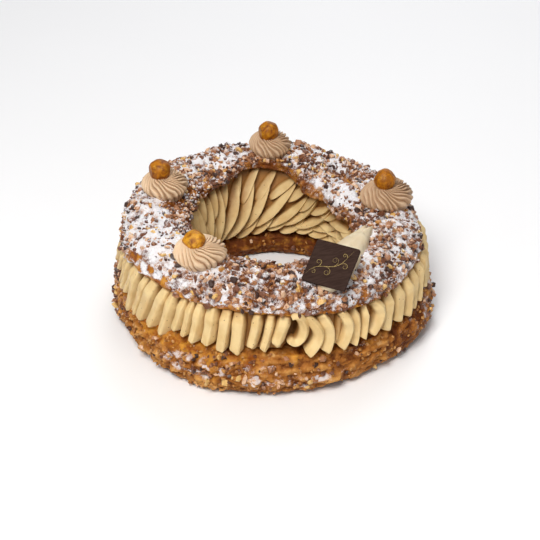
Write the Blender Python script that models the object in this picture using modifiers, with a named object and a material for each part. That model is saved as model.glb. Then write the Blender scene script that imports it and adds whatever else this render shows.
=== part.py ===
"""A paris brest: a baked choux ring, split, filled with piped praline cream and dressed on top.

Metres, +Z up. The ring stands on z = 0 around the Z axis, and -Y is the front.
Angles are in degrees, anticlockwise from +X as seen from above.
"""

import math

import bpy
import numpy as np
from mathutils import Matrix, Vector

MM = 0.001
GAP = 0.3 * MM  # clearance kept between two pieces that rest on each other
LID_REST = 0.9 * MM  # the same between the lid and the cream, whose facets don't line up

# The ring as a whole
CROWN_RADIUS = 76 * MM  # circle along the top of the ring
LEAN = math.radians(2.8)  # the lid leans down towards +X, on a filling as uneven

# Lower crust
BASE_OUTER = 96 * MM  # edge of the flat underside
BASE_INNER = 51 * MM
BELLY = 103.5 * MM  # widest radius
BELLY_HEIGHT = 11 * MM
SHOULDER = 95.5 * MM  # where the cut face starts, outside
SHOULDER_HEIGHT = 30 * MM
SHOULDER_DIP = (-55, 45, 3 * MM)  # the front right is lower: centre, half width, how far
# Places where the outside swells: centre and half width in degrees, how far
BELLY_SWELLS = (
    (-24, 26, 4 * MM),
    (-64, 20, -1 * MM),
    (-114, 36, 3 * MM),
    (178, 34, -0.5 * MM),
    (92, 44, 2 * MM),
    (8, 22, -2 * MM),
)
INNER_SHOULDER = 52 * MM
INNER_HEIGHT = 16.5 * MM  # height of the wall round the hole
TRAY_RADIUS = 74 * MM  # the cut face bends here
TRAY_DROP = 4 * MM

# Upper crust, the lid
LID_OUTER = 97 * MM
LID_OUTER_HEIGHT = 55 * MM  # underside of the outer edge
LID_INNER = 54 * MM
LID_INNER_HEIGHT = 58 * MM  # underside of the inner edge
CROWN_HEIGHT = 72.5 * MM
BACK_DIP = 3 * MM  # the crown is this much lower at the back than at the front
LEFT_DIP = (120, 42, 3.5 * MM)  # and lower still on its left: centre, half width, how far
BACK_TRIM = 3.4 * MM  # the lid is this much narrower at the back
RIGHT_TRIM = (10, 24, 2 * MM)  # and on the right: centre, half width, how much
OUTER_LIP = 4 * MM  # how thick the lid is at its edges
INNER_LIP = 5 * MM
# Places where the inner edge strays: centre and half width in degrees, reach into the hole, rise
INNER_STRAYS = (
    (44, 42, 11 * MM, -2.5 * MM),  # the flap that sags over the cream
    (14, 28, 6.5 * MM, 0.5 * MM),  # the tongue at the end of the flap
    (96, 32, -4.5 * MM, 5 * MM),  # the lifted stretch at the back
    (142, 30, 5 * MM, 2 * MM),  # the fold left of it
    (178, 22, 4 * MM, 0 * MM),  # the thick stretch on the left
)
OUTER_SAG = (184, 28, 9 * MM)  # the outer edge droops on the left: centre, half width, how far

# Piped cream
RIDGES = 68  # turns of the piping round the outside
RIDGE_DEPTH = 3.6 * MM
TIP = 99 * MM  # radius of the lower ends of the ridges
TIP_DROP = 2.2 * MM  # how far a ridge hangs lower than the valley beside it
CREAM_OUTER = 96.4 * MM
RIBS = 34  # broader ribs round the hole
RIB_DEPTH = 4.5 * MM
CREAM_INNER = 52 * MM
RIB_SLANT = 48  # degrees of the ring that the longest rib leans along

# Rosettes, each with a hazelnut: angle, radius of its place, width, offset of the nut
ROSETTES = {
    "back": (91, 74 * MM, 28.5 * MM, (-1.0 * MM, -0.5 * MM, 0.5 * MM)),
    "left": (166, 70 * MM, 30 * MM, (-3.0 * MM, 0.5 * MM, 0.8 * MM)),
    "front": (-125, 75 * MM, 31 * MM, (-3.2 * MM, -0.2 * MM, -1.6 * MM)),
    "right": (11.3, 74.5 * MM, 34 * MM, (-1.8 * MM, 1.0 * MM, 1.0 * MM)),
}
ROSETTE_HEIGHT = 11 * MM
ROSETTE_FOOT = 4.5 * MM  # how far it reaches down the curve of the lid
ROSETTE_RIDGES = 18
ROSETTE_SWIRL = 42  # degrees that a ridge turns on its way out
NUT_WIDTH = 14 * MM
NUT_HEIGHT = 13.5 * MM
NUT_SINK = 4.5 * MM  # how deep a nut sits in its rosette

# Chocolate plaque and the dab of cream that holds it
PLAQUE_SIDE = 27.7 * MM
PLAQUE_THICK = 2.0 * MM
PLAQUE_CENTRE = (34.7 * MM, -75.2 * MM, 78.4 * MM)
PLAQUE_HEADING = -25.5  # of its lower edge, in degrees
PLAQUE_PITCH = 31.8  # its far side stands this much higher
DAB_LENGTH = 71 * MM
DAB_WIDTH = 20 * MM
DAB_HEIGHT = 20 * MM
DAB_TAPER = 0.4  # how much narrower and lower its far end is than its middle
DAB_CENTRE = (44.9 * MM, -51.8 * MM, 68 * MM)
DAB_HEADING = 65

# Facets
CRUST_COLUMNS = 68
LID_COLUMNS = 68
RIDGE_COLUMNS = 2  # one on the ridge and one in the valley


def turn_from(angle, centre):
    """Signed turn from a centre to an angle, -180 to 180 degrees."""
    return (angle - centre + 180) % 360 - 180


def swell(angle, centre, half_width):
    """A smooth bump along the ring: 1 at its centre, 0 beyond its half width."""
    turn = abs(turn_from(angle, centre)) / half_width
    return 0.5 + 0.5 * math.cos(math.pi * turn) if turn < 1 else 0.0


def waver(angle, size, start):
    """Handmade unevenness along the ring: three waves that don't fall in step."""
    a = math.radians(angle)
    waves = 0.5 * math.sin(3 * a + start)
    waves += 0.3 * math.sin(5 * a + 2.1 * start)
    waves += 0.2 * math.sin(11 * a + 3.7 * start)
    return size * waves


def ease(share):
    """Smooth step from 0 to 1."""
    share = min(max(share, 0.0), 1.0)
    return share * share * (3 - 2 * share)


def on_ring(angle, radius, height):
    a = math.radians(angle)
    return (radius * math.cos(a), radius * math.sin(a), height)


def leaned(point):
    """Lowers a point of the lid towards +X, as the lid leans."""
    x, y, z = point
    return (x, y, z - math.tan(LEAN) * x)


# ---------------------------------------------------------------- lower crust


def crust_top(angle, radius):
    """Height of the face that the cream is piped on: steep round the hole, nearly level outside."""
    centre, half_width, dip = SHOULDER_DIP
    level = SHOULDER_HEIGHT + waver(angle, 0.8 * MM, 1.3) - dip * swell(angle, centre, half_width)
    radii = (INNER_SHOULDER, TRAY_RADIUS, SHOULDER)
    return float(np.interp(radius, radii, (INNER_HEIGHT, level - TRAY_DROP, level)))


def lower_crust_section(angle):
    """Once round the crust: underside, bulging outside, cut face, wall of the hole."""
    out = waver(angle, 1.8 * MM, 0.4)
    out += sum(size * swell(angle, centre, half) for centre, half, size in BELLY_SWELLS)
    low = waver(angle, 1.6 * MM, 2.2)
    inward = waver(angle, 1.2 * MM, 4.0)
    top = crust_top(angle, SHOULDER)
    outside = (
        (BASE_INNER + inward, 0),
        (BASE_OUTER + out, 0),
        (BELLY + out - 2.8 * MM, BELLY_HEIGHT - 7.5 * MM + 0.5 * low),
        (BELLY + out, BELLY_HEIGHT + low),
        (BELLY + out - 0.8 * MM, BELLY_HEIGHT + 8 * MM + low),
        (BELLY + 0.6 * out - 4.6 * MM, top - 3 * MM),
        (SHOULDER, top),
    )
    tray = ((TRAY_RADIUS, crust_top(angle, TRAY_RADIUS)),)
    wall = (
        (INNER_SHOULDER, INNER_HEIGHT),
        (INNER_SHOULDER - 2 * MM + inward, INNER_HEIGHT - 2.5 * MM),
        (INNER_SHOULDER - 3.5 * MM + inward, 0.5 * INNER_HEIGHT),
    )
    return [on_ring(angle, radius, height) for radius, height in outside + tray + wall]


# ------------------------------------------------------------------------ lid


def lid_inner_edge(angle):
    """Radius and height of the underside of the lid's inner edge."""
    radius = LID_INNER + waver(angle, 1.6 * MM, 5.1)
    height = LID_INNER_HEIGHT + waver(angle, 1.2 * MM, 0.9)
    for centre, half_width, reach, rise in INNER_STRAYS:
        strength = swell(angle, centre, half_width) ** 0.6
        radius -= reach * strength
        height += rise * strength
    return radius, height


def lid_outer_edge(angle):
    """Radius and height of the underside of the lid's outer edge."""
    trim = BACK_TRIM * (0.5 + 0.5 * math.cos(math.radians(angle - 78)))
    centre, half_width, narrowing = RIGHT_TRIM
    trim = trim + narrowing * swell(angle, centre, half_width)
    radius = LID_OUTER - trim + waver(angle, 1.5 * MM, 3.3)
    centre, half_width, sag = OUTER_SAG
    height = LID_OUTER_HEIGHT + waver(angle, 1.2 * MM, 1.7) - sag * swell(angle, centre, half_width)
    return radius, height


def crown_height(angle):
    dip = BACK_DIP * (0.5 + 0.5 * math.sin(math.radians(angle)))
    centre, half_width, left_dip = LEFT_DIP
    dip = dip + left_dip * swell(angle, centre, half_width)
    return CROWN_HEIGHT - dip + waver(angle, 1.3 * MM, 2.9)


def lid_under(angle, radius):
    """Height of the lid's cut face, from its inner to its outer edge."""
    inner_radius, inner_height = lid_inner_edge(angle)
    outer_radius, outer_height = lid_outer_edge(angle)
    share = (radius - inner_radius) / (outer_radius - inner_radius)
    return inner_height + (outer_height - inner_height) * share


def lid_section(angle):
    """Once round the lid: outer edge, two quarter ellipses that meet on the crown, cut face."""
    inner_radius, inner_height = lid_inner_edge(angle)
    outer_radius, outer_height = lid_outer_edge(angle)
    crown = crown_height(angle)
    points = [(outer_radius - 2.5 * MM, lid_under(angle, outer_radius - 2.5 * MM))]
    points.append((outer_radius, outer_height + 0.35 * OUTER_LIP))
    low = outer_height + OUTER_LIP
    for degrees in (8, 30, 52, 72, 90):
        a = math.radians(degrees)
        radius = CROWN_RADIUS + (outer_radius - CROWN_RADIUS) * math.cos(a)
        points.append((radius, low + (crown - low) * math.sin(a)))
    low = inner_height + INNER_LIP
    for degrees in (64, 38, 10):
        a = math.radians(degrees)
        radius = CROWN_RADIUS - (CROWN_RADIUS - inner_radius) * math.cos(a)
        points.append((radius, low + (crown - low) * math.sin(a)))
    points.append((inner_radius, inner_height + 0.3 * INNER_LIP))
    points.append((inner_radius + 3 * MM, lid_under(angle, inner_radius + 3 * MM)))
    return [leaned(on_ring(angle, radius, height)) for radius, height in points]


# ---------------------------------------------------------------- piped cream


def rib_slant(angle):
    """How far round the ring a rib's top end lies from its foot: most on the right of the back."""
    return RIB_SLANT * (0.5 + 0.5 * math.cos(math.radians(angle - 50)))


def cream_section(column):
    """Once round the cream, at one column of its ridges."""
    angle = column * 360 / (RIDGES * RIDGE_COLUMNS)
    crest = 1 - column % RIDGE_COLUMNS
    bulge = RIDGE_DEPTH * (crest - 0.5)
    low = crust_top(angle, SHOULDER) + 1.2 * GAP
    tip = low + TIP_DROP * (1 - crest) + 0.4 * MM
    points = [on_ring(angle, SHOULDER - 1 * MM, low)]
    points.append(on_ring(angle, TIP - 1.6 * MM + bulge, tip))

    def under_lid(at, radius):
        x, y, z = leaned(on_ring(at, radius, lid_under(at, radius) - LID_REST))
        return z

    high = under_lid(angle, CREAM_OUTER - 4 * MM)
    for share, out in ((0.16, 0.6 * MM), (0.45, 0.2 * MM), (0.8, -1.2 * MM)):
        radius = CREAM_OUTER + out + bulge
        points.append(on_ring(angle, radius, tip + (high - tip) * share))
    points.append(on_ring(angle, CREAM_OUTER - 4 * MM + 0.5 * bulge, high - 0.6 * MM))

    slant = rib_slant(angle)
    at = angle - 0.5 * slant
    points.append(on_ring(at, CROWN_RADIUS, under_lid(at, CROWN_RADIUS)))
    pitch = RIDGES * RIDGE_COLUMNS // RIBS
    relief = RIB_DEPTH * (0.2, 0.75, 1.0, 0.0)[column % pitch]
    foot = crust_top(angle, INNER_SHOULDER + 3 * MM) + 1.5 * GAP
    top_angle = angle - slant
    edge = lid_inner_edge(top_angle)[0] + 4 * MM
    high = under_lid(top_angle, edge)
    for share in (1.0, 0.8, 0.5, 0.2, 0.0):
        at = angle - slant * share
        body = CREAM_INNER + (edge - CREAM_INNER) * ease(1.6 * share - 0.6)
        round_off = 1 - abs(2 * share - 1) ** 3
        radius = body + 2.5 * MM - (relief + 1.5 * MM) * round_off
        points.append(on_ring(at, radius, foot + (high - foot) * share))
    points.append(on_ring(angle, TRAY_RADIUS, crust_top(angle, TRAY_RADIUS) + 1.5 * GAP))
    return points


# ------------------------------------------------------------------ mesh makers


def paint(name, colour, roughness, metallic=0.0):
    material = bpy.data.materials.new(name)
    material.use_nodes = True
    shader = material.node_tree.nodes["Principled BSDF"]
    shader.inputs["Base Color"].default_value = (*colour, 1)
    shader.inputs["Roughness"].default_value = roughness
    shader.inputs["Metallic"].default_value = metallic
    material.diffuse_color = (*colour, 1)
    return material


def add_object(name, mesh, material, collection):
    piece = bpy.data.objects.new(name, mesh)
    collection.objects.link(piece)
    mesh.materials.append(material)
    mesh.shade_smooth()
    mesh.set_sharp_from_angle(angle=math.radians(40))
    return piece


def ring_mesh(name, sections):
    """Joins closed sections, one at each angle, once round the ring."""
    count, around = len(sections), len(sections[0])
    points = [point for section in sections for point in section]
    faces = []
    for i in range(count):
        here, ahead = i * around, (i + 1) % count * around
        for j in range(around):
            k = (j + 1) % around
            faces.append((here + j, ahead + j, ahead + k, here + k))
    mesh = bpy.data.meshes.new(name)
    mesh.from_pydata(points, [], faces)
    return mesh


def domed_mesh(name, rings):
    """Joins open rings of points from the foot to the top, and closes both ends."""
    around = len(rings[0])
    points = [point for ring in rings for point in ring]
    faces = [tuple(reversed(range(around)))]
    for i in range(len(rings) - 1):
        for j in range(around):
            k = (j + 1) % around
            low, high = i * around, (i + 1) * around
            faces.append((low + j, low + k, high + k, high + j))
    faces.append(tuple(range(len(points) - around, len(points))))
    mesh = bpy.data.meshes.new(name)
    mesh.from_pydata(points, [], faces)
    return mesh


def cut(piece, cutter, name):
    """A Boolean that takes the cutter's space out of a piece."""
    boolean = piece.modifiers.new(name, "BOOLEAN")
    boolean.operation = "DIFFERENCE"
    boolean.object = cutter


def hide(cutter):
    cutter.hide_render = True
    cutter.display_type = "WIRE"


# ----------------------------------------------------------------- dressed top


def crown_place(angle, radius):
    """Point on top of the lid at a place near its crown."""
    return Vector(leaned(on_ring(angle, radius, crown_height(angle))))


def rosette_mesh(name, width):
    """A star of ridges that swirl outwards from the middle, over a foot that the lid cuts off."""
    half = 0.5 * width
    profile = (
        (0.70 * half, -ROSETTE_FOOT, 0.5),
        (0.91 * half, 0.10 * ROSETTE_HEIGHT, 1.0),
        (0.94 * half, 0.36 * ROSETTE_HEIGHT, 1.0),
        (0.76 * half, 0.70 * ROSETTE_HEIGHT, 0.8),
        (0.46 * half, 0.95 * ROSETTE_HEIGHT, 0.4),
    )
    depth = 0.06 * half
    rings = []
    for radius, height, strength in profile:
        swirl = ROSETTE_SWIRL * min(radius / half, 0.9)
        ring = []
        for i in range(2 * ROSETTE_RIDGES):
            crest = 1 if i % 2 else -1
            ring.append(on_ring(180 * i / ROSETTE_RIDGES + swirl, radius + depth * strength * crest, height))
        rings.append(ring)
    return domed_mesh(name, rings)


def nut_mesh(name, grow):
    """A hazelnut: a sphere drawn up to a blunt point, and flattened at its base."""
    rings = []
    for degrees in (-72, -48, -22, 4, 30, 54, 76):
        a = math.radians(degrees)
        radius = (0.5 * NUT_WIDTH + grow) * math.cos(a)
        rise = math.sin(a) ** 3 if degrees > 0 else 0
        height = (0.5 * NUT_HEIGHT + grow) * (0.94 * math.sin(a) + 0.06 * rise)
        rings.append([on_ring(30 * i, radius, height) for i in range(12)])
    return domed_mesh(name, rings)


def plaque_frame():
    """Place and turn of the plaque: its own X runs along the lower edge."""
    turn = Matrix.Rotation(math.radians(PLAQUE_HEADING), 4, "Z")
    pitch = Matrix.Rotation(math.radians(PLAQUE_PITCH), 4, "X")
    return Matrix.Translation(PLAQUE_CENTRE) @ turn @ pitch


def add_box(name, size, frame, collection, material):
    bpy.ops.mesh.primitive_cube_add(size=1)
    box = bpy.context.object
    box.name = name
    box.data.name = name
    box.data.transform(Matrix.Diagonal((*size, 1)))
    box.matrix_world = frame
    for owner in list(box.users_collection):
        owner.objects.unlink(box)
    collection.objects.link(box)
    box.data.materials.append(material)
    return box


def dab_mesh(name):
    """A tongue of cream: an ellipsoid that narrows and thins towards its far end."""
    rings = []
    for degrees in (-80, -58, -34, -10, 14, 38, 62, 80):
        a = math.radians(degrees)
        ring = []
        for i in range(16):
            b = 2 * math.pi * i / 16
            x = 0.5 * DAB_LENGTH * math.cos(a) * math.cos(b)
            taper = 1 - DAB_TAPER * x / (0.5 * DAB_LENGTH)
            y = 0.5 * DAB_WIDTH * taper * math.cos(a) * math.sin(b)
            ring.append((x, y, 0.5 * DAB_HEIGHT * taper * math.sin(a)))
        rings.append(ring)
    return domed_mesh(name, rings)


# ---------------------------------------------------------------------- build


def main():
    for old in list(bpy.data.objects):
        bpy.data.objects.remove(old, do_unlink=True)
    parts = bpy.data.collections.new("paris_brest")
    cutters = bpy.data.collections.new("cutters")
    bpy.context.scene.collection.children.link(parts)
    bpy.context.scene.collection.children.link(cutters)

    crust = paint("baked_choux", (0.42, 0.19, 0.07), 0.75)
    cream = paint("praline_cream", (0.74, 0.55, 0.32), 0.5)
    whipped = paint("rosette_cream", (0.66, 0.45, 0.31), 0.5)
    hazelnut = paint("caramelised_hazelnut", (0.62, 0.27, 0.05), 0.3)
    chocolate = paint("dark_chocolate", (0.035, 0.02, 0.018), 0.35)
    pale = paint("pale_cream", (0.80, 0.64, 0.42), 0.55)

    steps = [360 * i / CRUST_COLUMNS for i in range(CRUST_COLUMNS)]
    add_object("lower_crust", ring_mesh("lower_crust", [lower_crust_section(a) for a in steps]), crust, parts)
    columns = range(RIDGES * RIDGE_COLUMNS)
    add_object("cream_ring", ring_mesh("cream_ring", [cream_section(c) for c in columns]), cream, parts)
    steps = [360 * i / LID_COLUMNS for i in range(LID_COLUMNS)]
    lid_sections = [lid_section(a) for a in steps]
    add_object("upper_crust", ring_mesh("upper_crust", lid_sections), crust, parts)

    lid_cutter = add_object("lid_cutter", ring_mesh("lid_cutter", lid_sections), crust, cutters)
    lid_cutter.location.z = GAP
    hide(lid_cutter)

    for place, (angle, radius, width, nut_offset) in ROSETTES.items():
        foot = crown_place(angle, radius)
        rosette = add_object("rosette_" + place, rosette_mesh("rosette_" + place, width), whipped, parts)
        rosette.location = foot
        rosette.rotation_euler.z = math.radians(angle)
        cut(rosette, lid_cutter, "seat on the lid")
        rise = ROSETTE_HEIGHT - NUT_SINK + 0.5 * NUT_HEIGHT
        middle = foot + Vector((0, 0, rise)) + Vector(nut_offset)
        nut = add_object("hazelnut_" + place, nut_mesh("hazelnut_" + place, 0), hazelnut, parts)
        nut.location = middle
        pocket = add_object("pocket_" + place, nut_mesh("pocket_" + place, GAP), hazelnut, cutters)
        pocket.location = middle
        hide(pocket)
        cut(rosette, pocket, "pocket for the nut")

    frame = plaque_frame()
    size = (PLAQUE_SIDE, PLAQUE_SIDE, PLAQUE_THICK)
    plaque = add_box("chocolate_plaque", size, frame, parts, chocolate)
    edge = plaque.modifiers.new("worn edge", "BEVEL")
    edge.width = 0.3 * MM
    edge.segments = 1

    dab = add_object("cream_dab", dab_mesh("cream_dab"), pale, parts)
    dab.location = DAB_CENTRE
    dab.rotation_euler.z = math.radians(DAB_HEADING)
    above = DAB_HEIGHT
    lift = Matrix.Translation((0, 0, 0.5 * above - 0.5 * PLAQUE_THICK - GAP))
    wide = 2 * DAB_LENGTH
    press = add_box("plaque_press", (wide, wide, above), frame @ lift, cutters, chocolate)
    hide(press)
    cut(dab, press, "pressed flat")
    cut(dab, lid_cutter, "seat on the lid")


main()
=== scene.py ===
"""A paris brest, dressed for the studio: baked choux, piped praline cream, nuts and icing sugar.

Metres, +Z up. The ring stands on z = 0 round the Z axis, and -Y is the front.
Angles are in degrees, anticlockwise from +X as seen from above. A bump along the ring is given as its
size, the angle of its middle and half its width.
"""

import itertools
import math

import bpy
import numpy as np
from mathutils import Matrix, Vector


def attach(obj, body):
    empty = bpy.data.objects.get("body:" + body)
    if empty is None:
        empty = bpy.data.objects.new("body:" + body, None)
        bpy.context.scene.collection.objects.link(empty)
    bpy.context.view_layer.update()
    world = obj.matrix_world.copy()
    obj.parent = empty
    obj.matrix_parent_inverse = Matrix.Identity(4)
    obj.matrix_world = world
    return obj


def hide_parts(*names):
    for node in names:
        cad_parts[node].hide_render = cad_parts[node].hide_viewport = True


MM = 0.001

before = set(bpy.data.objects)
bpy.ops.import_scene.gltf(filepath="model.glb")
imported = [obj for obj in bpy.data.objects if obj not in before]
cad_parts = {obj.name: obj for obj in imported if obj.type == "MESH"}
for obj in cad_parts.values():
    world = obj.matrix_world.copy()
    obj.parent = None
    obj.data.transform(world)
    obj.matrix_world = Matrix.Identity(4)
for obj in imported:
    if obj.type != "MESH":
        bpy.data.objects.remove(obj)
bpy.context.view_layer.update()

# The ring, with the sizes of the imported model
CROWN_RADIUS = 76 * MM
LEAN = math.radians(2.8)
BASE_OUTER = 96 * MM
BASE_INNER = 51 * MM
BELLY = 103.5 * MM
BELLY_HEIGHT = 11 * MM
SHOULDER = 95.5 * MM
SHOULDER_HEIGHT = 30 * MM
SHOULDER_DIP = (-3 * MM, -55, 45)
BELLY_SWELLS = (
    (4 * MM, -24, 26),
    (-1 * MM, -64, 20),
    (3 * MM, -114, 36),
    (-0.5 * MM, 178, 34),
    (2 * MM, 92, 44),
    (-2 * MM, 8, 22),
)
INNER_SHOULDER = 52 * MM
INNER_HEIGHT = 16.5 * MM
TRAY_RADIUS = 74 * MM
TRAY_DROP = 4 * MM
LID_OUTER = 97 * MM
LID_OUTER_HEIGHT = 55 * MM
LID_INNER = 54 * MM
LID_INNER_HEIGHT = 58 * MM
CROWN_HEIGHT = 72.5 * MM
BACK_DIP = 3 * MM
LEFT_DIP = (3.5 * MM, 120, 42)
BACK_TRIM = 3.4 * MM
RIGHT_TRIM = (2 * MM, 10, 24)
OUTER_LIP = 4 * MM
INNER_LIP = 5 * MM
# How the lid's inner edge strays: angle, half width, reach into the hole, rise
INNER_STRAYS = (
    (44, 42, 11 * MM, -2.5 * MM),
    (14, 28, 6.5 * MM, 0.5 * MM),
    (96, 32, -4.5 * MM, 5 * MM),
    (142, 30, 5 * MM, 2 * MM),
    (178, 22, 4 * MM, 0 * MM),
)
OUTER_SAG = (-9 * MM, 184, 28)
LID_REST = 0.9 * MM
CREAM_OUTER = 96.4 * MM
CREAM_INNER = 52 * MM
RIDGES = 68
RIBS = 32
# How far the ribs round the hole lean from upright: angle along the ring, degrees of lean
RIB_LEANS = (
    (-180, -4), (-120, 0), (-20, 60), (8, 94), (30, 88), (45, 62), (58, 48), (75, 40), (90, 35), (110, 31),
    (125, 22), (140, 10), (160, 0), (180, -4),
)
# Rosettes: angle, radius along the ring, width, and how far the nut sits off the middle
ROSETTES = {
    "back": (91, 74 * MM, 28.5 * MM, (-1.0 * MM, -0.5 * MM, 0.5 * MM)),
    "left": (166, 70 * MM, 30 * MM, (-3.0 * MM, 0.5 * MM, 0.8 * MM)),
    "front": (-125, 75 * MM, 31 * MM, (-3.2 * MM, -0.2 * MM, -1.6 * MM)),
    "right": (11.3, 74.5 * MM, 34 * MM, (-1.8 * MM, 1.0 * MM, 1.0 * MM)),
}
ROSETTE_HEIGHT = 11 * MM
ROSETTE_TWIST = math.radians(105)
ROSETTE_RIDGES = 22
NUT_WIDTH = 14 * MM
NUT_HEIGHT = 13.5 * MM
NUT_SINK = 4.5 * MM
PLAQUE_SIDE = 27.7 * MM
PLAQUE_THICK = 2.0 * MM
PLAQUE_CENTRE = (34.7 * MM, -75.2 * MM, 78.4 * MM)
PLAQUE_HEADING = -25.5
PLAQUE_PITCH = 31.8
DAB_LENGTH = 71 * MM
DAB_WIDTH = 20 * MM
DAB_HEIGHT = 20 * MM
DAB_TAPER = 0.4
DAB_CENTRE = (44.9 * MM, -51.8 * MM, 68 * MM)
DAB_HEADING = 65


# ---- arithmetic


def turn_from(angle, centre):
    """Signed turn from a centre to an angle, -180 to 180 degrees."""
    return (angle - centre + 180) % 360 - 180


def swell(angle, centre, half_width):
    """A bump along the ring, half a cosine wave: 1 at its centre, 0 beyond its half width."""
    turn = np.minimum(np.abs(turn_from(angle, centre)) / half_width, 1)
    return 0.5 + 0.5 * np.cos(np.pi * turn)


def swells(angle, level, bumps):
    """A level plus bumps along the ring."""
    for size, centre, half_width in bumps:
        level = level + size * swell(angle, centre, half_width)
    return level


def waver(angle, size, start):
    """Handmade unevenness along the ring: a sum of three sine waves, 3, 5 and 11 to a turn."""
    a = np.radians(angle)
    waves = 0.5 * np.sin(3 * a + start)
    waves += 0.3 * np.sin(5 * a + 2.1 * start)
    waves += 0.2 * np.sin(11 * a + 3.7 * start)
    return size * waves


def ease(share):
    """Smooth step: 3 s squared less 2 s cubed, held between 0 and 1."""
    share = np.clip(share, 0, 1)
    return share * share * (3 - 2 * share)


def between(value, low, high):
    """Smooth step from 0 at low to 1 at high."""
    return ease((value - low) / (high - low))


def on_ring(angle, radius, height):
    """Points at an angle round the Z axis, a radius and a height."""
    a = np.radians(angle)
    return np.stack(np.broadcast_arrays(radius * np.cos(a), radius * np.sin(a), height), -1)


def polar(points):
    """Angle of points round the Z axis and their distance from it."""
    return np.degrees(np.arctan2(points[..., 1], points[..., 0])), np.hypot(points[..., 0], points[..., 1])


def full_turn(count):
    """Angles in radians, evenly all the way round."""
    return np.arange(count) * 2 * np.pi / count


LATTICE = np.random.default_rng(5).uniform(-1, 1, (32, 32, 32))


def noise(points, size, start=0.0):
    """Value noise, -1 to 1: random numbers on a cubic lattice of that size, eased from corner to corner."""
    place = points / size + np.array((start, 1.7 * start, 2.3 * start))
    cell = np.floor(place).astype(int)
    share = place - cell
    share = share * share * (3 - 2 * share)
    total = np.zeros(points.shape[:-1])
    for corner in itertools.product((0, 1), repeat=3):
        weight = np.prod(np.where(corner, share, 1 - share), axis=-1)
        x, y, z = np.moveaxis((cell + corner) % 32, -1, 0)
        total += weight * LATTICE[x, y, z]
    return total


def rough(points, size, octaves, start=0.0):
    """Sum of noise at a size and its halvings, each half as strong."""
    total = np.zeros(points.shape[:-1])
    for i in range(octaves):
        total += noise(points, size / 2**i, start + 3.1 * i) / 2**i
    return total


def puffed(points, size, octaves, start=0.0):
    """Puffs with creases between them: the same sum, of the noise's distance from zero."""
    total = np.zeros(points.shape[:-1])
    for i in range(octaves):
        total += (np.abs(noise(points, size / 2**i, start + 3.1 * i)) - 0.3) / 2**i
    return total


def unit(vectors):
    """Vectors cut or stretched to length 1."""
    return vectors / np.maximum(np.linalg.norm(vectors, axis=-1, keepdims=True), 1e-12)


# ---- meshes


def make_piece(name, points, faces, material, slot, **attributes):
    """An object at the origin from points and faces that all have the same number of corners."""
    mesh = bpy.data.meshes.new(name)
    points = np.ascontiguousarray(points.reshape(-1, 3))
    mesh.vertices.add(len(points))
    mesh.vertices.foreach_set("co", points.ravel())
    mesh.loops.add(faces.size)
    mesh.loops.foreach_set("vertex_index", np.ascontiguousarray(faces.ravel(), np.int32))
    mesh.polygons.add(len(faces))
    mesh.polygons.foreach_set("loop_start", np.arange(0, faces.size, faces.shape[1], dtype=np.int32))
    mesh.update(calc_edges=True)
    mesh.validate()
    for label, values in attributes.items():
        layer = mesh.attributes.new(label, "FLOAT", "POINT")
        layer.data.foreach_set("value", np.ascontiguousarray(values.ravel(), np.float32))
    mesh.materials.append(material)
    mesh.shade_smooth()
    piece = bpy.data.objects.new(name, mesh)
    bpy.context.scene.collection.objects.link(piece)
    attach(piece, "root")
    return piece


def make_roll(name, rings, material, slot, **attributes):
    """A piece that is one closed roll, given as its rings of points."""
    points, faces = roll_points(rings[None]), roll_faces(1, *rings.shape[:2])
    return make_piece(name, points, faces, material, slot, **attributes)


def ring_faces(count, around):
    """Quads of a grid that closes both ways."""
    i, j = np.meshgrid(np.arange(count), np.arange(around), indexing="ij")
    ahead, k = (i + 1) % count, (j + 1) % around
    corners = (i * around + j, ahead * around + j, ahead * around + k, i * around + k)
    return np.stack(corners, -1).reshape(-1, 4)


def roll_faces(many, rings, around):
    """Triangles of many closed rolls. The points of one roll are its first pole, its rings of points,
    and its last pole."""
    i, j = np.meshgrid(np.arange(rings - 1), np.arange(around), indexing="ij")
    k = (j + 1) % around
    low, high = 1 + i * around, 1 + (i + 1) * around
    first = np.stack((low + j, low + k, high + k), -1).reshape(-1, 3)
    second = np.stack((low + j, high + k, high + j), -1).reshape(-1, 3)
    j = np.arange(around)
    k = (j + 1) % around
    start = np.stack((np.zeros_like(j), 1 + k, 1 + j), -1)
    last = 1 + rings * around
    final = 1 + (rings - 1) * around
    end = np.stack((np.full_like(j, last), final + j, final + k), -1)
    one = np.concatenate((first, second, start, end))
    return (one[None] + (last + 1) * np.arange(many)[:, None, None]).reshape(-1, 3)


def roll_points(rings):
    """Adds to rolls of shape (many, rings, around, 3) the poles that close them."""
    start = rings[:, 0].mean(axis=1, keepdims=True)
    end = rings[:, -1].mean(axis=1, keepdims=True)
    body = rings.reshape(len(rings), -1, 3)
    return np.concatenate((start, body, end), axis=1)


def grid_normals(points):
    """Unit normals of a grid that closes both ways: the cross product of its two directions."""
    along = np.roll(points, -1, 0) - np.roll(points, 1, 0)
    across = np.roll(points, -1, 1) - np.roll(points, 1, 1)
    return unit(np.cross(along, across))


def pushed(points, normals, relief):
    """Points moved along their normals by a relief in mm."""
    return points + normals * (relief * MM)[..., None]


def rounded_section(corners, counts, passes):
    """Section lines, (angles, points, 2), through corners that are each a pair of radii and heights. The
    run to the next corner is divided evenly, and the corners are rounded by averaging every point with
    its two neighbours, passes times."""
    corners = np.array(corners).transpose(2, 0, 1)
    ahead = np.roll(corners, -1, axis=1)
    runs = []
    for j, count in enumerate(counts):
        share = (np.arange(count) / count)[None, :, None]
        runs.append(corners[:, j, None] + (ahead[:, j, None] - corners[:, j, None]) * share)
    line = np.concatenate(runs, axis=1)
    for _ in range(passes):
        line = 0.5 * line + 0.25 * (np.roll(line, 1, 1) + np.roll(line, -1, 1))
    return line


# ---- materials


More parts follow.
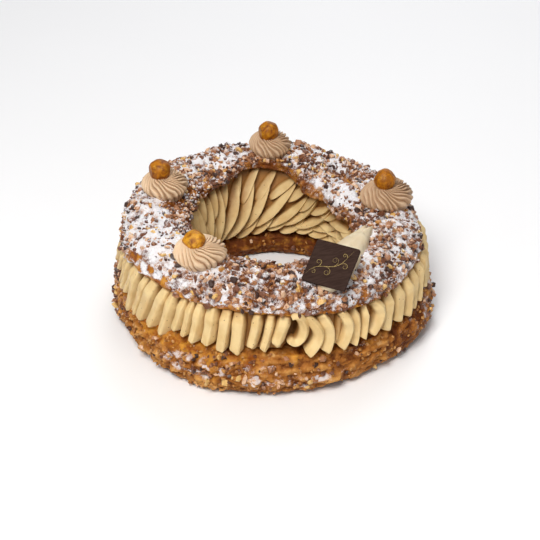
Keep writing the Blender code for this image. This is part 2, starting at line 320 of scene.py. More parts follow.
class Value:
    """A shader socket that takes part in arithmetic: an expression on values adds its Math nodes."""

    def __init__(self, finish, socket):
        self.finish = finish
        self.socket = socket

    def maths(self, operation, *operands):
        """The value that a Math node gives."""
        node = self.finish.node("ShaderNodeMath", {"operation": operation}, dict(enumerate(operands)))
        return Value(self.finish, node.outputs[0])

    def __add__(self, other):
        return self.maths("ADD", self, other)

    __radd__ = __add__

    def __sub__(self, other):
        return self.maths("SUBTRACT", self, other)

    def __rsub__(self, other):
        return self.maths("SUBTRACT", other, self)

    def __mul__(self, other):
        return self.maths("MULTIPLY", self, other)

    __rmul__ = __mul__

    def over(self, low, high):
        """Smooth step from 0 at low to 1 at high."""
        settings = {"interpolation_type": "SMOOTHSTEP"}
        sockets = {"Value": self, "From Min": low, "From Max": high}
        node = self.finish.node("ShaderNodeMapRange", settings, sockets)
        return Value(self.finish, node.outputs["Result"])


class Finish:
    """A material with a Principled shader, whose fixed values are set on its own sockets."""

    def __init__(self, name, **fixed):
        self.material = bpy.data.materials.new(name)
        self.material.use_nodes = True
        self.tree = self.material.node_tree
        self.shader = self.tree.nodes["Principled BSDF"]
        for label, value in fixed.items():
            self.shader.inputs[label.replace("_", " ")].default_value = value
        place = self.node("ShaderNodeTexCoord", {}, {})
        self.place = Value(self, place.outputs["Object"])

    def node(self, kind, settings, sockets):
        """Any node: its settings first, then the values or links of its sockets."""
        node = self.tree.nodes.new(kind)
        for label, value in settings.items():
            setattr(node, label, value)
        for label, value in sockets.items():
            if isinstance(value, Value):
                self.tree.links.new(value.socket, node.inputs[label])
            else:
                node.inputs[label].default_value = value
        return node

    def speckle(self, size, detail=2.0, distortion=0.0, place=None):
        """Noise of a grain size in metres, 0 to 1."""
        sockets = {"Vector": place or self.place, "Scale": 1 / size}
        sockets |= {"Detail": detail, "Distortion": distortion}
        return Value(self, self.node("ShaderNodeTexNoise", {}, sockets).outputs["Fac"])

    def painted(self, label):
        """A number kept on the mesh's points."""
        node = self.node("ShaderNodeAttribute", {"attribute_name": label}, {})
        return Value(self, node.outputs["Fac"])

    def blend(self, share, first, second, kind="MIX"):
        """Colour between two colours."""
        first, second = ((*c, 1) if isinstance(c, tuple) else c for c in (first, second))
        settings = {"data_type": "RGBA", "blend_type": kind}
        node = self.node("ShaderNodeMix", settings, {0: share, 6: first, 7: second})
        return Value(self, node.outputs[2])

    def bump(self, height, distance, strength):
        """A normal tilted by the slope of a height, 0 to 1, that stands for a distance."""
        sockets = {"Height": height, "Distance": distance, "Strength": strength}
        node = self.node("ShaderNodeBump", {}, sockets)
        return Value(self, node.outputs["Normal"])

    def link(self, **links):
        """The finished material, with values linked to its shader's sockets."""
        for label, value in links.items():
            self.tree.links.new(value.socket, self.shader.inputs[label.replace("_", " ")])
        return self.material


SUGAR_WHITE = (0.90, 0.89, 0.905)
SUGAR_SHADE = (0.72, 0.705, 0.73)


def sugared(finish, colour, cover):
    """Icing sugar over a colour, mottled with a cooler tone."""
    mottled = finish.blend(finish.speckle(0.9 * MM), SUGAR_SHADE, SUGAR_WHITE)
    return finish.blend(cover, colour, mottled)


def choux_finish(name, toast, veil):
    """Baked choux: gold on the puffs, red-brown in the creases (partly its own browning, partly painted
    shade), amber and glossy where the dough burst.
    Toast darkens it all, and veil is the most that sugar hides."""
    finish = Finish(name, IOR=1.45, Specular_IOR_Level=0.14)
    gold, brown, dark = (0.60, 0.290, 0.075), (0.35, 0.125, 0.022), (0.115, 0.028, 0.004)
    high = finish.painted("high")
    patches = finish.speckle(8 * MM, 4.0, 0.6)
    fine = finish.speckle(1.1 * MM, 3.0)
    # A low high darkens the crust: partly its own browning, partly painted shade in creases and where less
    # light falls.
    depth = high + (patches - 0.5) * 1.3 + (fine - 0.5) * 0.7 - toast
    colour = finish.blend(depth.over(-0.75, 0.0), dark, brown)
    colour = finish.blend(depth.over(-0.15, 0.85), colour, gold)
    pale = finish.speckle(4.5 * MM, 3.0).over(0.58, 0.75) * depth.over(-0.7, 0.0) * 0.5
    colour = finish.blend(pale, colour, (0.70, 0.45, 0.20))
    burst = (finish.painted("amber") + (finish.speckle(3.6 * MM, 3.0) - 0.5) * 1.1).over(0.25, 0.80)
    syrup = finish.blend(patches.over(0.35, 0.65), (0.26, 0.070, 0.008), (0.60, 0.27, 0.035))
    colour = finish.blend(burst, colour, syrup)
    grains = (finish.speckle(0.55 * MM, 3.0) - 0.5) * 1.1 + (finish.speckle(1.7 * MM, 2.0) - 0.5) * 0.6
    cover = (finish.painted("sugar") + grains).over(0.22, 0.85)
    colour = sugared(finish, colour, cover * veil)
    roughness = finish.speckle(3 * MM) * 0.25 + 0.40 - burst * 0.12 + cover * 0.4
    bump = finish.bump(finish.speckle(0.6 * MM, 3.0, 0.4) + patches * 0.4, 0.5 * MM, 0.8)
    return finish.link(Base_Color=colour, Roughness=roughness, Normal=bump)


def cream_finish(name, light, deep, folded, specks, grain):
    """Piped cream: a fine matt grain, a deeper tone in patches, painted shade in the folds and creases where
    the painted light is low, and for praline cream tiny dark specks."""
    glow = {"Subsurface_Weight": 0.06, "Subsurface_Radius": (1.0, 0.55, 0.25), "Subsurface_Scale": 0.8 * MM}
    finish = Finish(name, IOR=1.4, **glow)
    tone = finish.speckle(9 * MM, 3.0).over(0.35, 0.70)
    colour = finish.blend(tone, light, deep)
    # Painted shade: where the painted light is low, the cream turns to the darker shade colour, in folds and
    # creases.
    fold = finish.painted("fold") + (finish.speckle(5 * MM, 2.0) - 0.5) * 0.3
    colour = finish.blend(fold.over(0.05, 0.85), folded, colour)
    if specks:
        near = finish.node("ShaderNodeTexVoronoi", {}, {"Vector": finish.place, "Scale": 1 / (3.4 * MM)})
        dot = 1 - Value(finish, near.outputs["Distance"]).over(0.06, 0.14)
        shade = finish.node("ShaderNodeSeparateColor", {}, {"Color": Value(finish, near.outputs["Color"])})
        chosen = Value(finish, shade.outputs["Red"]).over(0.42, 0.47)
        colour = finish.blend(dot * chosen * 0.85, colour, (0.16, 0.07, 0.03))
    roughness = finish.speckle(2 * MM) * 0.2 + 0.45
    bump = finish.bump(finish.speckle(grain, 3.0) + finish.speckle(3 * MM) * 1.5, 0.25 * MM, 0.6)
    return finish.link(Base_Color=colour, Roughness=roughness, Normal=bump)


def chopped_finish(name, skin, flesh, flesh_share):
    """A chopped roasted nut: skin on some sides and flesh on others, dusted from above."""
    finish = Finish(name, IOR=1.46)
    tone = finish.painted("tone")
    side = finish.speckle(1.7 * MM, 1.0) + (tone - 0.5) * 0.5
    colour = finish.blend(side.over(0.62 - flesh_share, 0.72 - flesh_share), skin, flesh)
    shade = finish.blend(finish.speckle(0.6 * MM), (0.55, 0.55, 0.55), (1.0, 1.0, 1.0))
    colour = finish.blend(0.6, colour, shade, "MULTIPLY")
    cover = (finish.painted("dust") + (finish.speckle(0.6 * MM, 2.0) - 0.5) * 0.8).over(0.36, 0.72)
    colour = sugared(finish, colour, cover * 0.72)
    roughness = cover * 0.4 + 0.42
    bump = finish.bump(finish.speckle(0.5 * MM, 2.0), 0.25 * MM, 0.5)
    return finish.link(Base_Color=colour, Roughness=roughness, Normal=bump)


def hazelnut_finish():
    """A caramelised hazelnut: amber with brown mottling and a thin glaze."""
    fixed = {"Coat_Weight": 0.03, "Coat_Roughness": 0.3, "IOR": 1.4, "Specular_IOR_Level": 0.35}
    finish = Finish("caramelised_hazelnut", **fixed)
    patches = finish.speckle(4.5 * MM, 3.0, 1.2)
    colour = finish.blend(patches.over(0.25, 0.75), (0.17, 0.040, 0.001), (0.46, 0.160, 0.003))
    bright = finish.speckle(3.0 * MM, 3.0) + finish.painted("high") * 0.5
    colour = finish.blend(bright.over(0.50, 0.95), colour, (0.68, 0.33, 0.018))
    veins = finish.speckle(2.2 * MM, 4.0, 2.0).over(0.38, 0.30) * 0.6
    colour = finish.blend(veins, colour, (0.11, 0.030, 0.004))
    roughness = finish.speckle(1.5 * MM) * 0.25 + 0.36
    bump = finish.bump(patches + finish.speckle(0.8 * MM, 3.0) * 0.4, 0.5 * MM, 0.6)
    return finish.link(Base_Color=colour, Roughness=roughness, Normal=bump)


def chocolate_finish():
    """Dark chocolate, a soft sheen with faint streaks."""
    finish = Finish("dark_chocolate", Specular_IOR_Level=0.06)
    stretch = finish.node("ShaderNodeMapping", {}, {"Vector": finish.place, "Scale": (1.0, 6.0, 1.0)})
    streaks = finish.speckle(6 * MM, 3.0, 0.0, Value(finish, stretch.outputs[0]))
    colour = finish.blend(streaks.over(0.3, 0.7), (0.028, 0.014, 0.010), (0.044, 0.024, 0.018))
    roughness = streaks * 0.2 + 0.48
    bump = finish.bump(finish.speckle(1.2 * MM, 3.0), 0.1 * MM, 0.4)
    return finish.link(Base_Color=colour, Roughness=roughness, Normal=bump)


def gold_finish():
    """Gold transfer, thin and a little worn."""
    finish = Finish("gold_transfer", Metallic=0.4)
    worn = finish.speckle(0.9 * MM, 2.0).over(0.3, 0.65)
    colour = finish.blend(worn, (0.13, 0.085, 0.03), (0.46, 0.33, 0.10))
    return finish.link(Base_Color=colour, Roughness=finish.speckle(0.5 * MM) * 0.3 + 0.3)


def sugar_finish():
    """Loose icing sugar, in damp little clumps."""
    finish = Finish("icing_sugar", Roughness=0.9, Subsurface_Weight=0.2, Subsurface_Scale=0.5 * MM)
    colour = finish.blend(finish.speckle(1.0 * MM), SUGAR_SHADE, SUGAR_WHITE)
    bump = finish.bump(finish.speckle(0.35 * MM), 0.2 * MM, 0.5)
    return finish.link(Base_Color=colour, Normal=bump)


LOWER_CHOUX = choux_finish("baked_choux_base", 0.10, 0.62)
UPPER_CHOUX = choux_finish("baked_choux_lid", 0.40, 0.94)
PRALINE_CREAM = cream_finish(
    "praline_cream", (0.74, 0.55, 0.27), (0.66, 0.455, 0.20), (0.33, 0.150, 0.036), True, 0.5 * MM
)
ROSETTE_CREAM = cream_finish(
    "rosette_cream", (0.74, 0.545, 0.36), (0.67, 0.47, 0.295), (0.42, 0.25, 0.14), False, 0.4 * MM
)
PALE_CREAM = cream_finish(
    "pale_cream", (0.74, 0.63, 0.44), (0.68, 0.55, 0.36), (0.60, 0.46, 0.28), False, 0.5 * MM
)
HAZELNUT = hazelnut_finish()
CHOCOLATE = chocolate_finish()
GOLD = gold_finish()
SUGAR = sugar_finish()


# ---- the solids' shape


def crust_top(angle, radius):
    """Height of the face that the cream is piped on, straight between three radii."""
    level = swells(angle, SHOULDER_HEIGHT + waver(angle, 0.8 * MM, 1.3), (SHOULDER_DIP,))
    inner = (radius - INNER_SHOULDER) / (TRAY_RADIUS - INNER_SHOULDER)
    outer = (radius - TRAY_RADIUS) / (SHOULDER - TRAY_RADIUS)
    rise = INNER_HEIGHT + (level - TRAY_DROP - INNER_HEIGHT) * np.clip(inner, 0, 1)
    return rise + TRAY_DROP * np.clip(outer, 0, 1)


def lid_inner_edge(angle):
    """Radius and height of the underside of the lid's inner edge."""
    radius = LID_INNER + waver(angle, 1.6 * MM, 5.1)
    height = LID_INNER_HEIGHT + waver(angle, 1.2 * MM, 0.9)
    for centre, half_width, reach, rise in INNER_STRAYS:
        strength = swell(angle, centre, half_width) ** 0.6
        radius = radius - reach * strength
        height = height + rise * strength
    return radius, height


def lid_outer_edge(angle):
    """Radius and height of the underside of the lid's outer edge."""
    trim = BACK_TRIM * (0.5 + 0.5 * np.cos(np.radians(angle - 78)))
    radius = LID_OUTER - swells(angle, trim, (RIGHT_TRIM,)) + waver(angle, 1.5 * MM, 3.3)
    height = swells(angle, LID_OUTER_HEIGHT + waver(angle, 1.2 * MM, 1.7), (OUTER_SAG,))
    return radius, height


def crown_height(angle):
    """Height of the lid's crown before it leans."""
    dip = swells(angle, BACK_DIP * (0.5 + 0.5 * np.sin(np.radians(angle))), (LEFT_DIP,))
    return CROWN_HEIGHT - dip + waver(angle, 1.3 * MM, 2.9)


def lid_under(angle, radius):
    """Height of the lid's cut face before it leans, straight from its inner to its outer edge."""
    inner_radius, inner_height = lid_inner_edge(angle)
    outer_radius, outer_height = lid_outer_edge(angle)
    share = (radius - inner_radius) / (outer_radius - inner_radius)
    return inner_height + (outer_height - inner_height) * share


def lean_drop(angle, radius):
    """How much lower the lid lies at a place, because it leans towards +X."""
    return math.tan(LEAN) * radius * np.cos(np.radians(angle))


def cream_under_lid(angle, radius):
    """Height of the cream's top, just clear of the lid's cut face."""
    return lid_under(angle, radius) - LID_REST - lean_drop(angle, radius)


def crown_place(angle, radius):
    """Point on top of the lid at a place near its crown."""
    return on_ring(angle, radius, crown_height(angle) - lean_drop(angle, radius))


# ---- lower crust

CRUST_COLUMNS = 1040
LAYERING = (1.0, 1.0, 1.9)  # the dough bursts in flat layers, so its relief is squashed in height
PITS = 46
# Sugar on the side of the base: how much, angle, half width, and the heights in mm between which it sets
# in and dies away
BASE_SUGAR = (
    (1.0, -112, 34, (9, 15), (27, 21)),
    (0.9, -12, 34, (8, 16), (99, 98)),
    (0.85, -84, 30, (4, 8), (16, 12)),
    (0.5, 178, 34, (12, 20), (99, 98)),
    (0.5, -55, 12, (20, 25), (99, 98)),
    (0.34, -92, 62, (-2, -1), (19, 12)),
)


def lower_crust_points():
    """The crust's section turned round the axis: flat underside, bulging side, cut face, wall of the hole.
    The line through its corners is rounded."""
    angle = np.arange(CRUST_COLUMNS) * 360 / CRUST_COLUMNS
    out = swells(angle, waver(angle, 1.8 * MM, 0.4), BELLY_SWELLS)
    low = waver(angle, 1.6 * MM, 2.2)
    inward = waver(angle, 1.2 * MM, 4.0)
    top = crust_top(angle, SHOULDER)
    zero = np.zeros_like(angle)
    corners = (
        (BASE_INNER + inward, zero),
        (BASE_OUTER + out, zero),
        (BELLY + out - 2.8 * MM, BELLY_HEIGHT - 7.5 * MM + 0.5 * low),
        (BELLY + out, BELLY_HEIGHT + low),
        (BELLY + out - 0.8 * MM, BELLY_HEIGHT + 8 * MM + low),
        (BELLY + 0.6 * out - 4.6 * MM, top - 3 * MM),
        (SHOULDER + zero, top),
        (TRAY_RADIUS + zero, crust_top(angle, TRAY_RADIUS)),
        (INNER_SHOULDER + zero, INNER_HEIGHT + zero),
        (INNER_SHOULDER - 2 * MM + inward, INNER_HEIGHT - 2.5 * MM + zero),
        (INNER_SHOULDER - 3.5 * MM + inward, 0.5 * INNER_HEIGHT + zero),
    )
    counts = (4, 8, 8, 10, 9, 9, 4, 4, 5, 8, 11)
    line = rounded_section(corners, counts, 5)
    return on_ring(angle[:, None], line[..., 0], line[..., 1])


def lower_crust():
    """The base, pushed out and in along its normals by puffs, crags, grain and pits. A pit is a bell curve
    with a raised rim."""
    points = lower_crust_points()
    normals = grid_normals(points)
    angle, radius = polar(points)
    height = points[..., 2]
    outside = between(radius, 90 * MM, 97 * MM)
    wall = between(radius, 60 * MM, 54 * MM)
    layered = points * LAYERING
    puffs = puffed(layered, 10 * MM, 2, 1.0)
    crags = puffed(layered, 4.4 * MM, 2, 4.0)
    grain = rough(points, 1.5 * MM, 2, 7.0)
    craggy = swells(angle, 0.75, ((0.55, -150, 75), (-0.25, -55, 40)))
    relief = 3.0 * puffs + 2.1 * crags * craggy + 0.32 * grain * craggy
    rng = np.random.default_rng(21)
    for _ in range(PITS):
        centre = on_ring(rng.uniform(-180, 180), (103 + rng.uniform(-3, 2)) * MM, rng.uniform(5, 26) * MM)
        span = rng.uniform(1.4, 3.6) * MM
        away = np.linalg.norm(points - centre, axis=-1) / span
        relief = relief - rng.uniform(0.6, 1.5) * np.exp(-(away**2)) + 0.25 * np.exp(-((away - 1.5) ** 2) * 4)
    free = np.maximum(outside, 0.6 * wall) * between(height, 0.2 * MM, 3 * MM)
    points = pushed(points, normals, (relief - 1.3) * free)
    points[..., 2] = np.maximum(points[..., 2], 0)
    normals = grid_normals(points)
    band = np.zeros_like(height)
    for share, centre, half, (low, full), (top, less) in BASE_SUGAR:
        patch = share * swell(angle, centre, half) * between(height, low * MM, full * MM)
        band = band + patch * between(height, top * MM, less * MM)
    sugar = band * outside * between(normals[..., 2], -0.25, 0.35)
    sugar = sugar * (0.55 + 1.0 * rough(points, 5 * MM, 3, 2.0))
    points = pushed(points, normals, 0.3 * between(sugar, 0.35, 0.7))
    # high: the relief's height, darker in creases partly as the crust's own browning and partly as painted
    # shade; it drops on the hole's wall and at the right front, about -34 degrees, as painted shade.
    high = relief * 0.40 - 1.15 * wall - 0.3 * swell(angle, -34, 34)
    amber = outside * between(height, 19 * MM, 25 * MM) * (0.35 + 0.65 * swell(angle, -140, 40))
    amber = amber + 0.34 * wall + 0.40 * outside * rough(points, 12 * MM, 2, 9.0)
    faces = ring_faces(*points.shape[:2])
    attributes = {"high": high, "sugar": sugar, "amber": amber}
    piece = make_piece("lower_crust_baked", points, faces, LOWER_CHOUX, "baked_choux", **attributes)
    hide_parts("lower_crust")
    return points, normals


# ---- upper crust

LID_COLUMNS = 880
BARE_PATCH = (-143, 27)  # angle and half width of the patch that no sugar or nuts cover
# Icing sugar on the lid, more or less along the ring: size, angle, half width
LID_SUGAR = (
    (0.28, 186, 60),
    (0.20, -140, 34),
    (0.22, 0, 62),
    (0.22, 122, 30),
    (0.16, 60, 26),
    (-0.12, -80, 40),
    (0.16, 90, 50),
)


def dome_corner(edge, low, crown, degrees):
    """A corner of the lid's section, on a quarter ellipse from its edge up to its crown."""
    a = math.radians(degrees)
    return CROWN_RADIUS + (edge - CROWN_RADIUS) * math.cos(a), low + (crown - low) * math.sin(a)


def lid_points():
    """The lid's section turned round the axis: outer edge, two quarter ellipses that meet on the crown,
    inner edge and cut face, with its edges torn in and out by noise along the ring."""
    angle = np.arange(LID_COLUMNS) * 360 / LID_COLUMNS
    inner_radius, inner_height = lid_inner_edge(angle)
    outer_radius, outer_height = lid_outer_edge(angle)
    edge_place = on_ring(angle, 75 * MM, 0.0)
    torn = 0.9 * noise(edge_place, 6 * MM, 1.0) + 0.7 * noise(edge_place, 2.5 * MM, 2.0)
    sag = 0.8 * noise(edge_place, 8 * MM, 3.0) + 0.5 * noise(edge_place, 3 * MM, 4.0)
    flap = swell(angle, 40, 36) ** 0.5
    torn = torn * (1 + 1.3 * flap) + 0.3 + 1.6 * noise(edge_place, 11 * MM, 9.0) * flap
    inner_radius = inner_radius - torn * MM - 2.2 * MM * swell(angle, 62, 9)
    inner_height = inner_height + (sag * (1 + 0.8 * flap) - 0.8 * flap) * MM
    outer_torn = 0.8 * noise(edge_place, 7 * MM, 5.0) + 0.6 * noise(edge_place, 2.6 * MM, 6.0)
    outer_sag = 0.7 * noise(edge_place, 6 * MM, 7.0) + 0.5 * noise(edge_place, 2.2 * MM, 8.0)
    outer_radius = outer_radius + outer_torn * MM
    outer_height = outer_height + outer_sag * MM
    crown = crown_height(angle)
    corners = [(outer_radius - 2.5 * MM, outer_height), (outer_radius, outer_height + 0.35 * OUTER_LIP)]
    corners += [dome_corner(outer_radius, outer_height + OUTER_LIP, crown, a) for a in (8, 30, 52, 72, 90)]
    corners += [dome_corner(inner_radius, inner_height + INNER_LIP, crown, a) for a in (64, 38, 10)]
    corners.append((inner_radius, inner_height + 0.3 * INNER_LIP))
    corners.append((inner_radius + 3 * MM, inner_height))
    counts = (3, 4, 12, 9, 9, 8, 10, 10, 11, 6, 4, 6)
    line = rounded_section(corners, counts, 3)
    height = line[..., 1] - lean_drop(angle[:, None], line[..., 0])
    return on_ring(angle[:, None], line[..., 0], height)


def lid_sugar(points, normals):
    """Where icing sugar has settled: thick on the left, the right and the flap, thin along the inner edge."""
    angle, radius = polar(points)
    lay = swells(angle, 0.58, LID_SUGAR)
    inner = between(radius, 70 * MM, 62 * MM)
    lay = lay - 0.26 * inner * (1 - swell(angle, 30, 40)) + 0.26 * inner * swell(angle, 30, 36)
    lay = lay - 0.45 * inner * swell(angle, 172, 36)
    lay = lay - 0.2 * swell(angle, 88, 26) * between(radius, 80 * MM, 74 * MM)
    drift = 0.30 * rough(points, 9 * MM, 2, 11.0) + 0.38 * rough(points, 3.0 * MM, 2, 12.0)
    return (lay + drift) * between(normals[..., 2], -0.45, 0.15)


def climb_from_edge(points):
    """How far a point outside the crown lies above the lid's lower outer edge. Elsewhere it is large."""
    angle, radius = polar(points)
    edge = lid_outer_edge(angle)[1] - lean_drop(angle, radius)
    return np.where(radius > 84 * MM, points[..., 2] - edge, 1.0)


def flap_tear(points):
    """How near a point is to the crease where the flap has torn from the lid, 0 to 1: a bell curve
    across a wavering line."""
    angle, radius = polar(points)
    line = 58.5 + 6.5 * between(angle, 5, 45) + 2.2 * noise(points, 9 * MM, 35.0)
    line = line + noise(points, 3 * MM, 36.0)
    near = np.exp(-(((radius - line * MM) / (2.2 * MM)) ** 2))
    return near * between(np.abs(turn_from(angle, 28)), 32, 22)


def upper_crust():
    """The lid, pushed out and in along its normals by puffs, crags and the tear of its flap. It returns its
    surface and sugar, for the nuts."""
    points = lid_points()
    normals = grid_normals(points)
    top = between(normals[..., 2], -0.5, 0.1)
    puffs = puffed(points, 8 * MM, 2, 21.0)
    crags = puffed(points, 2.8 * MM, 2, 24.0)
    tear = flap_tear(points) * top
    relief = 1.4 * puffs + 1.0 * crags + 0.3 * rough(points, 1.2 * MM, 2, 27.0) - 3.2 * tear
    angle, radius = polar(points)
    flap = swell(angle, 34, 40) ** 0.5
    raised = 1.5 * flap * between(radius, 62 * MM, 57 * MM) * between(radius, 42 * MM, 46 * MM)
    points = pushed(points, normals, (relief - 1.0 + raised) * top)
    normals = grid_normals(points)
    sugar = lid_sugar(points, normals)
    climb = climb_from_edge(points) + 1.3 * MM * noise(points, 6 * MM, 33.0)
    climb = climb + 0.5 * MM * noise(points, 2 * MM, 34.0)
    patchy = np.clip(0.65 + 1.5 * noise(points, 4.5 * MM, 38.0), 0, 1)
    bare = patchy * swell(angle, *BARE_PATCH) ** 0.5 * between(climb, 1.0 * MM, 2.0 * MM)
    bare = bare * between(climb, 11 * MM, 8 * MM)
    clots = np.clip(0.5 + 1.8 * noise(points, 3.2 * MM, 31.0), 0, 1.3)
    lumps = swell(angle, -140, 36) ** 0.6 * between(climb, 2.0 * MM, 1.2 * MM) * clots
    rim = between(climb, 2.8 * MM, 1.6 * MM)
    reach = (4.0 - 1.8 * swell(angle, 34, 34)) * MM
    inner_rim = between(radius - lid_inner_edge(angle)[0], reach, 0.35 * reach)
    inner_rim = inner_rim * (0.5 + 0.5 * swell(angle, 60, 84))
    sugar = sugar * (1 - bare) * (1 - 0.8 * rim) * (1 - 0.6 * inner_rim) * (1 - tear) + lumps
    points = pushed(points, normals, 0.4 * between(sugar, 0.4, 0.75) + 1.5 * lumps)
    # The relief part of high darkens the creases, partly as the crust's own browning and partly as painted
    # shade.
    high = relief * 0.6 + 0.3 * bare + inner_rim * (1.4 * flap - 0.5)
    amber = np.clip(1.2 * bare + 0.9 * rim * (1 - lumps) + 0.45 * inner_rim * (1 - 0.5 * flap) + tear, 0, 1)
    faces = ring_faces(*points.shape[:2])
    attributes = {"high": high, "sugar": sugar, "amber": amber}
    piece = make_piece("upper_crust_baked", points, faces, UPPER_CHOUX, "baked_choux", **attributes)
    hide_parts("upper_crust")
    return points, normals, sugar


# ---- piped cream

JOIN = -81.7  # angle where the piping ends, outside
SLUGS = 44
CORE_COLUMNS = 200
BLADE_WIDEST = 5.6
BLADE_BEVEL = 0.12
# Tiers of leaf-shaped ribs: share of the way up the wall, length, shift in ribs, depth, more lean, curve
RIB_TIERS = (
    (0.80, 28 * MM, 0.42, 6.0 * MM, -2, 12),
    (0.22, 26 * MM, -0.40, 6.6 * MM, 10, 26),
    (0.50, 46 * MM, 0.0, 7.6 * MM, 0, 22),
)
# Blades at the front: angle of the tip, its height in mm, degrees of lean and degrees of bow
FRONT_BLADES = (
    (-154.5, 21.5, 6.5, 0.0), (-149.8, 24.0, 7.5, 0.0), (-145.0, 25.5, 7.5, 0.0), (-138.3, 27.5, 7.2, 0.0),
    (-132.4, 26.0, 5.2, 0.0), (-126.6, 33.5, 3.8, 0.2), (-122.4, 32.0, 3.0, 0.0), (-118.6, 30.0, 2.6, 0.2),
    (-113.2, 32.0, 1.8, 0.4), (-108.0, 29.0, 1.9, 0.0), (-102.7, 29.5, 1.2, 0.2), (-97.0, 35.5, 2.2, 0.4),
    (-92.6, 33.4, 2.8, 0.2), (-88.0, 38.0, 3.4, 0.0), (-77.9, 28.5, 0.0, 4.6), (-71.4, 28.5, -1.0, 2.6),
    (-65.6, 28.8, 1.0, 3.2), (-60.0, 27.0, 0.4, 1.6), (-56.4, 30.0, 1.6, 0.8), (-53.0, 30.5, 2.0, 4.6),
    (-45.4, 26.8, 2.6, 1.0), (-39.0, 27.5, 2.0, 1.6), (-33.3, 26.0, 2.0, 2.2), (-28.5, 26.5, 3.0, 2.0),
    (-24.0, 27.0, 4.0, 2.4),
)


def blade(left, crest, right, soft):
    """Section of a blade of cream, as (across, out) for each: flat between the foot, a left edge, a crest,
    a right edge and the other foot, each edge given as (across, out). Every corner is cut off by a narrow
    facet, and soft is the share of each flat that this takes at its ends."""
    edges = ((-0.5, -0.3), left, crest, right, (0.5, -0.3))
    values = np.broadcast_arrays(*itertools.chain(*edges))
    corners = np.stack(values, axis=-1).reshape(len(values[0]), 5, 2)
    ahead = np.roll(corners, -1, axis=1) - corners
    line = [corners + ahead * share for share in (soft, 2 * soft, 1 - 2 * soft, 1 - soft)]
    line = np.stack(line, axis=2).reshape(len(corners), 20, 2)
    return line[..., 0], line[..., 1]


def piped(angle, radius, height, width, depth, section, side):
    """Carries a section along many paths on the wall of the ring. Paths are (many, steps) arrays of
    angle, radius and height. Across runs square to the path, along the wall, and out is away from the
    wall: side is 1 outside the ring and -1 round the hole."""
    across, out = section
    along = np.gradient(np.radians(angle), axis=1) * radius
    up = np.gradient(height, axis=1)
    length = np.maximum(np.hypot(along, up), 1e-9)
    spread = across[:, None, :] * width[..., None]
    turn = spread * (up / length)[..., None] / radius[..., None]
    rise = -spread * (along / length)[..., None]
    reach = side * out[:, None, :] * depth[..., None]
    return angle[..., None] + np.degrees(turn), radius[..., None] + reach, height[..., None] + rise


def shut(share, blunt):
    """How far a roll has opened, 0 to 1, at a share of its blunt end: a quarter of a superellipse."""
    return (1 - (1 - np.clip(share, 0, 1)) ** blunt) ** (1 / blunt)


def hung(foot, tip, lean, bow, wide, deep, body, section, chisel, lowest):
    """Blades outside the ring, that hang from under the lid to a chisel tip. Every argument but the
    section holds one value for each blade: the tip's angle and height, the turn it leans and bows by, its
    width, depth and radius of body, how much lower than its edges it ends, and where across it does."""
    steps = np.concatenate(([0.001, 0.008, 0.02, 0.04, 0.07], np.linspace(0.11, 1, 18)))
    sizes = np.broadcast_arrays(foot, tip, lean, bow, wide, deep, body, chisel)
    foot, tip, lean, bow, wide, deep, body, chisel = (size[:, None] for size in sizes)
    t = steps[None]
    angle = foot + lean * t + bow * np.sin(np.pi * t) ** 0.9
    top = cream_under_lid(angle, 91 * MM) + 0.3 * MM
    height = tip + (top - tip) * t
    curl = 1.6 * MM * np.exp(-((t / 0.30) ** 2)) - 3.4 * MM * ease((t - 0.70) / 0.30)
    open_end = shut(t / 0.035, 2.4)
    shape = 1 - 0.16 * ease((t - 0.7) / 0.3) - 0.05 * np.cos(np.pi * t)
    wide, deep = wide * shape * open_end, deep * open_end
    angle, radius, height = piped(angle, body + curl, height, wide, deep, section, 1)
    across = section[0][:, None, :]
    lowest = np.broadcast_to(lowest, len(foot))[:, None, None]
    slope = np.clip(1 - np.abs(across - lowest) / 0.6, 0, 1) - 0.5
    height = height - chisel[..., None] * slope * (1 - ease(t / 0.16))[..., None]
    blades = on_ring(angle, radius, height)
    return blades + 0.14 * MM * noise(blades, 4 * MM, 41.0)[..., None]


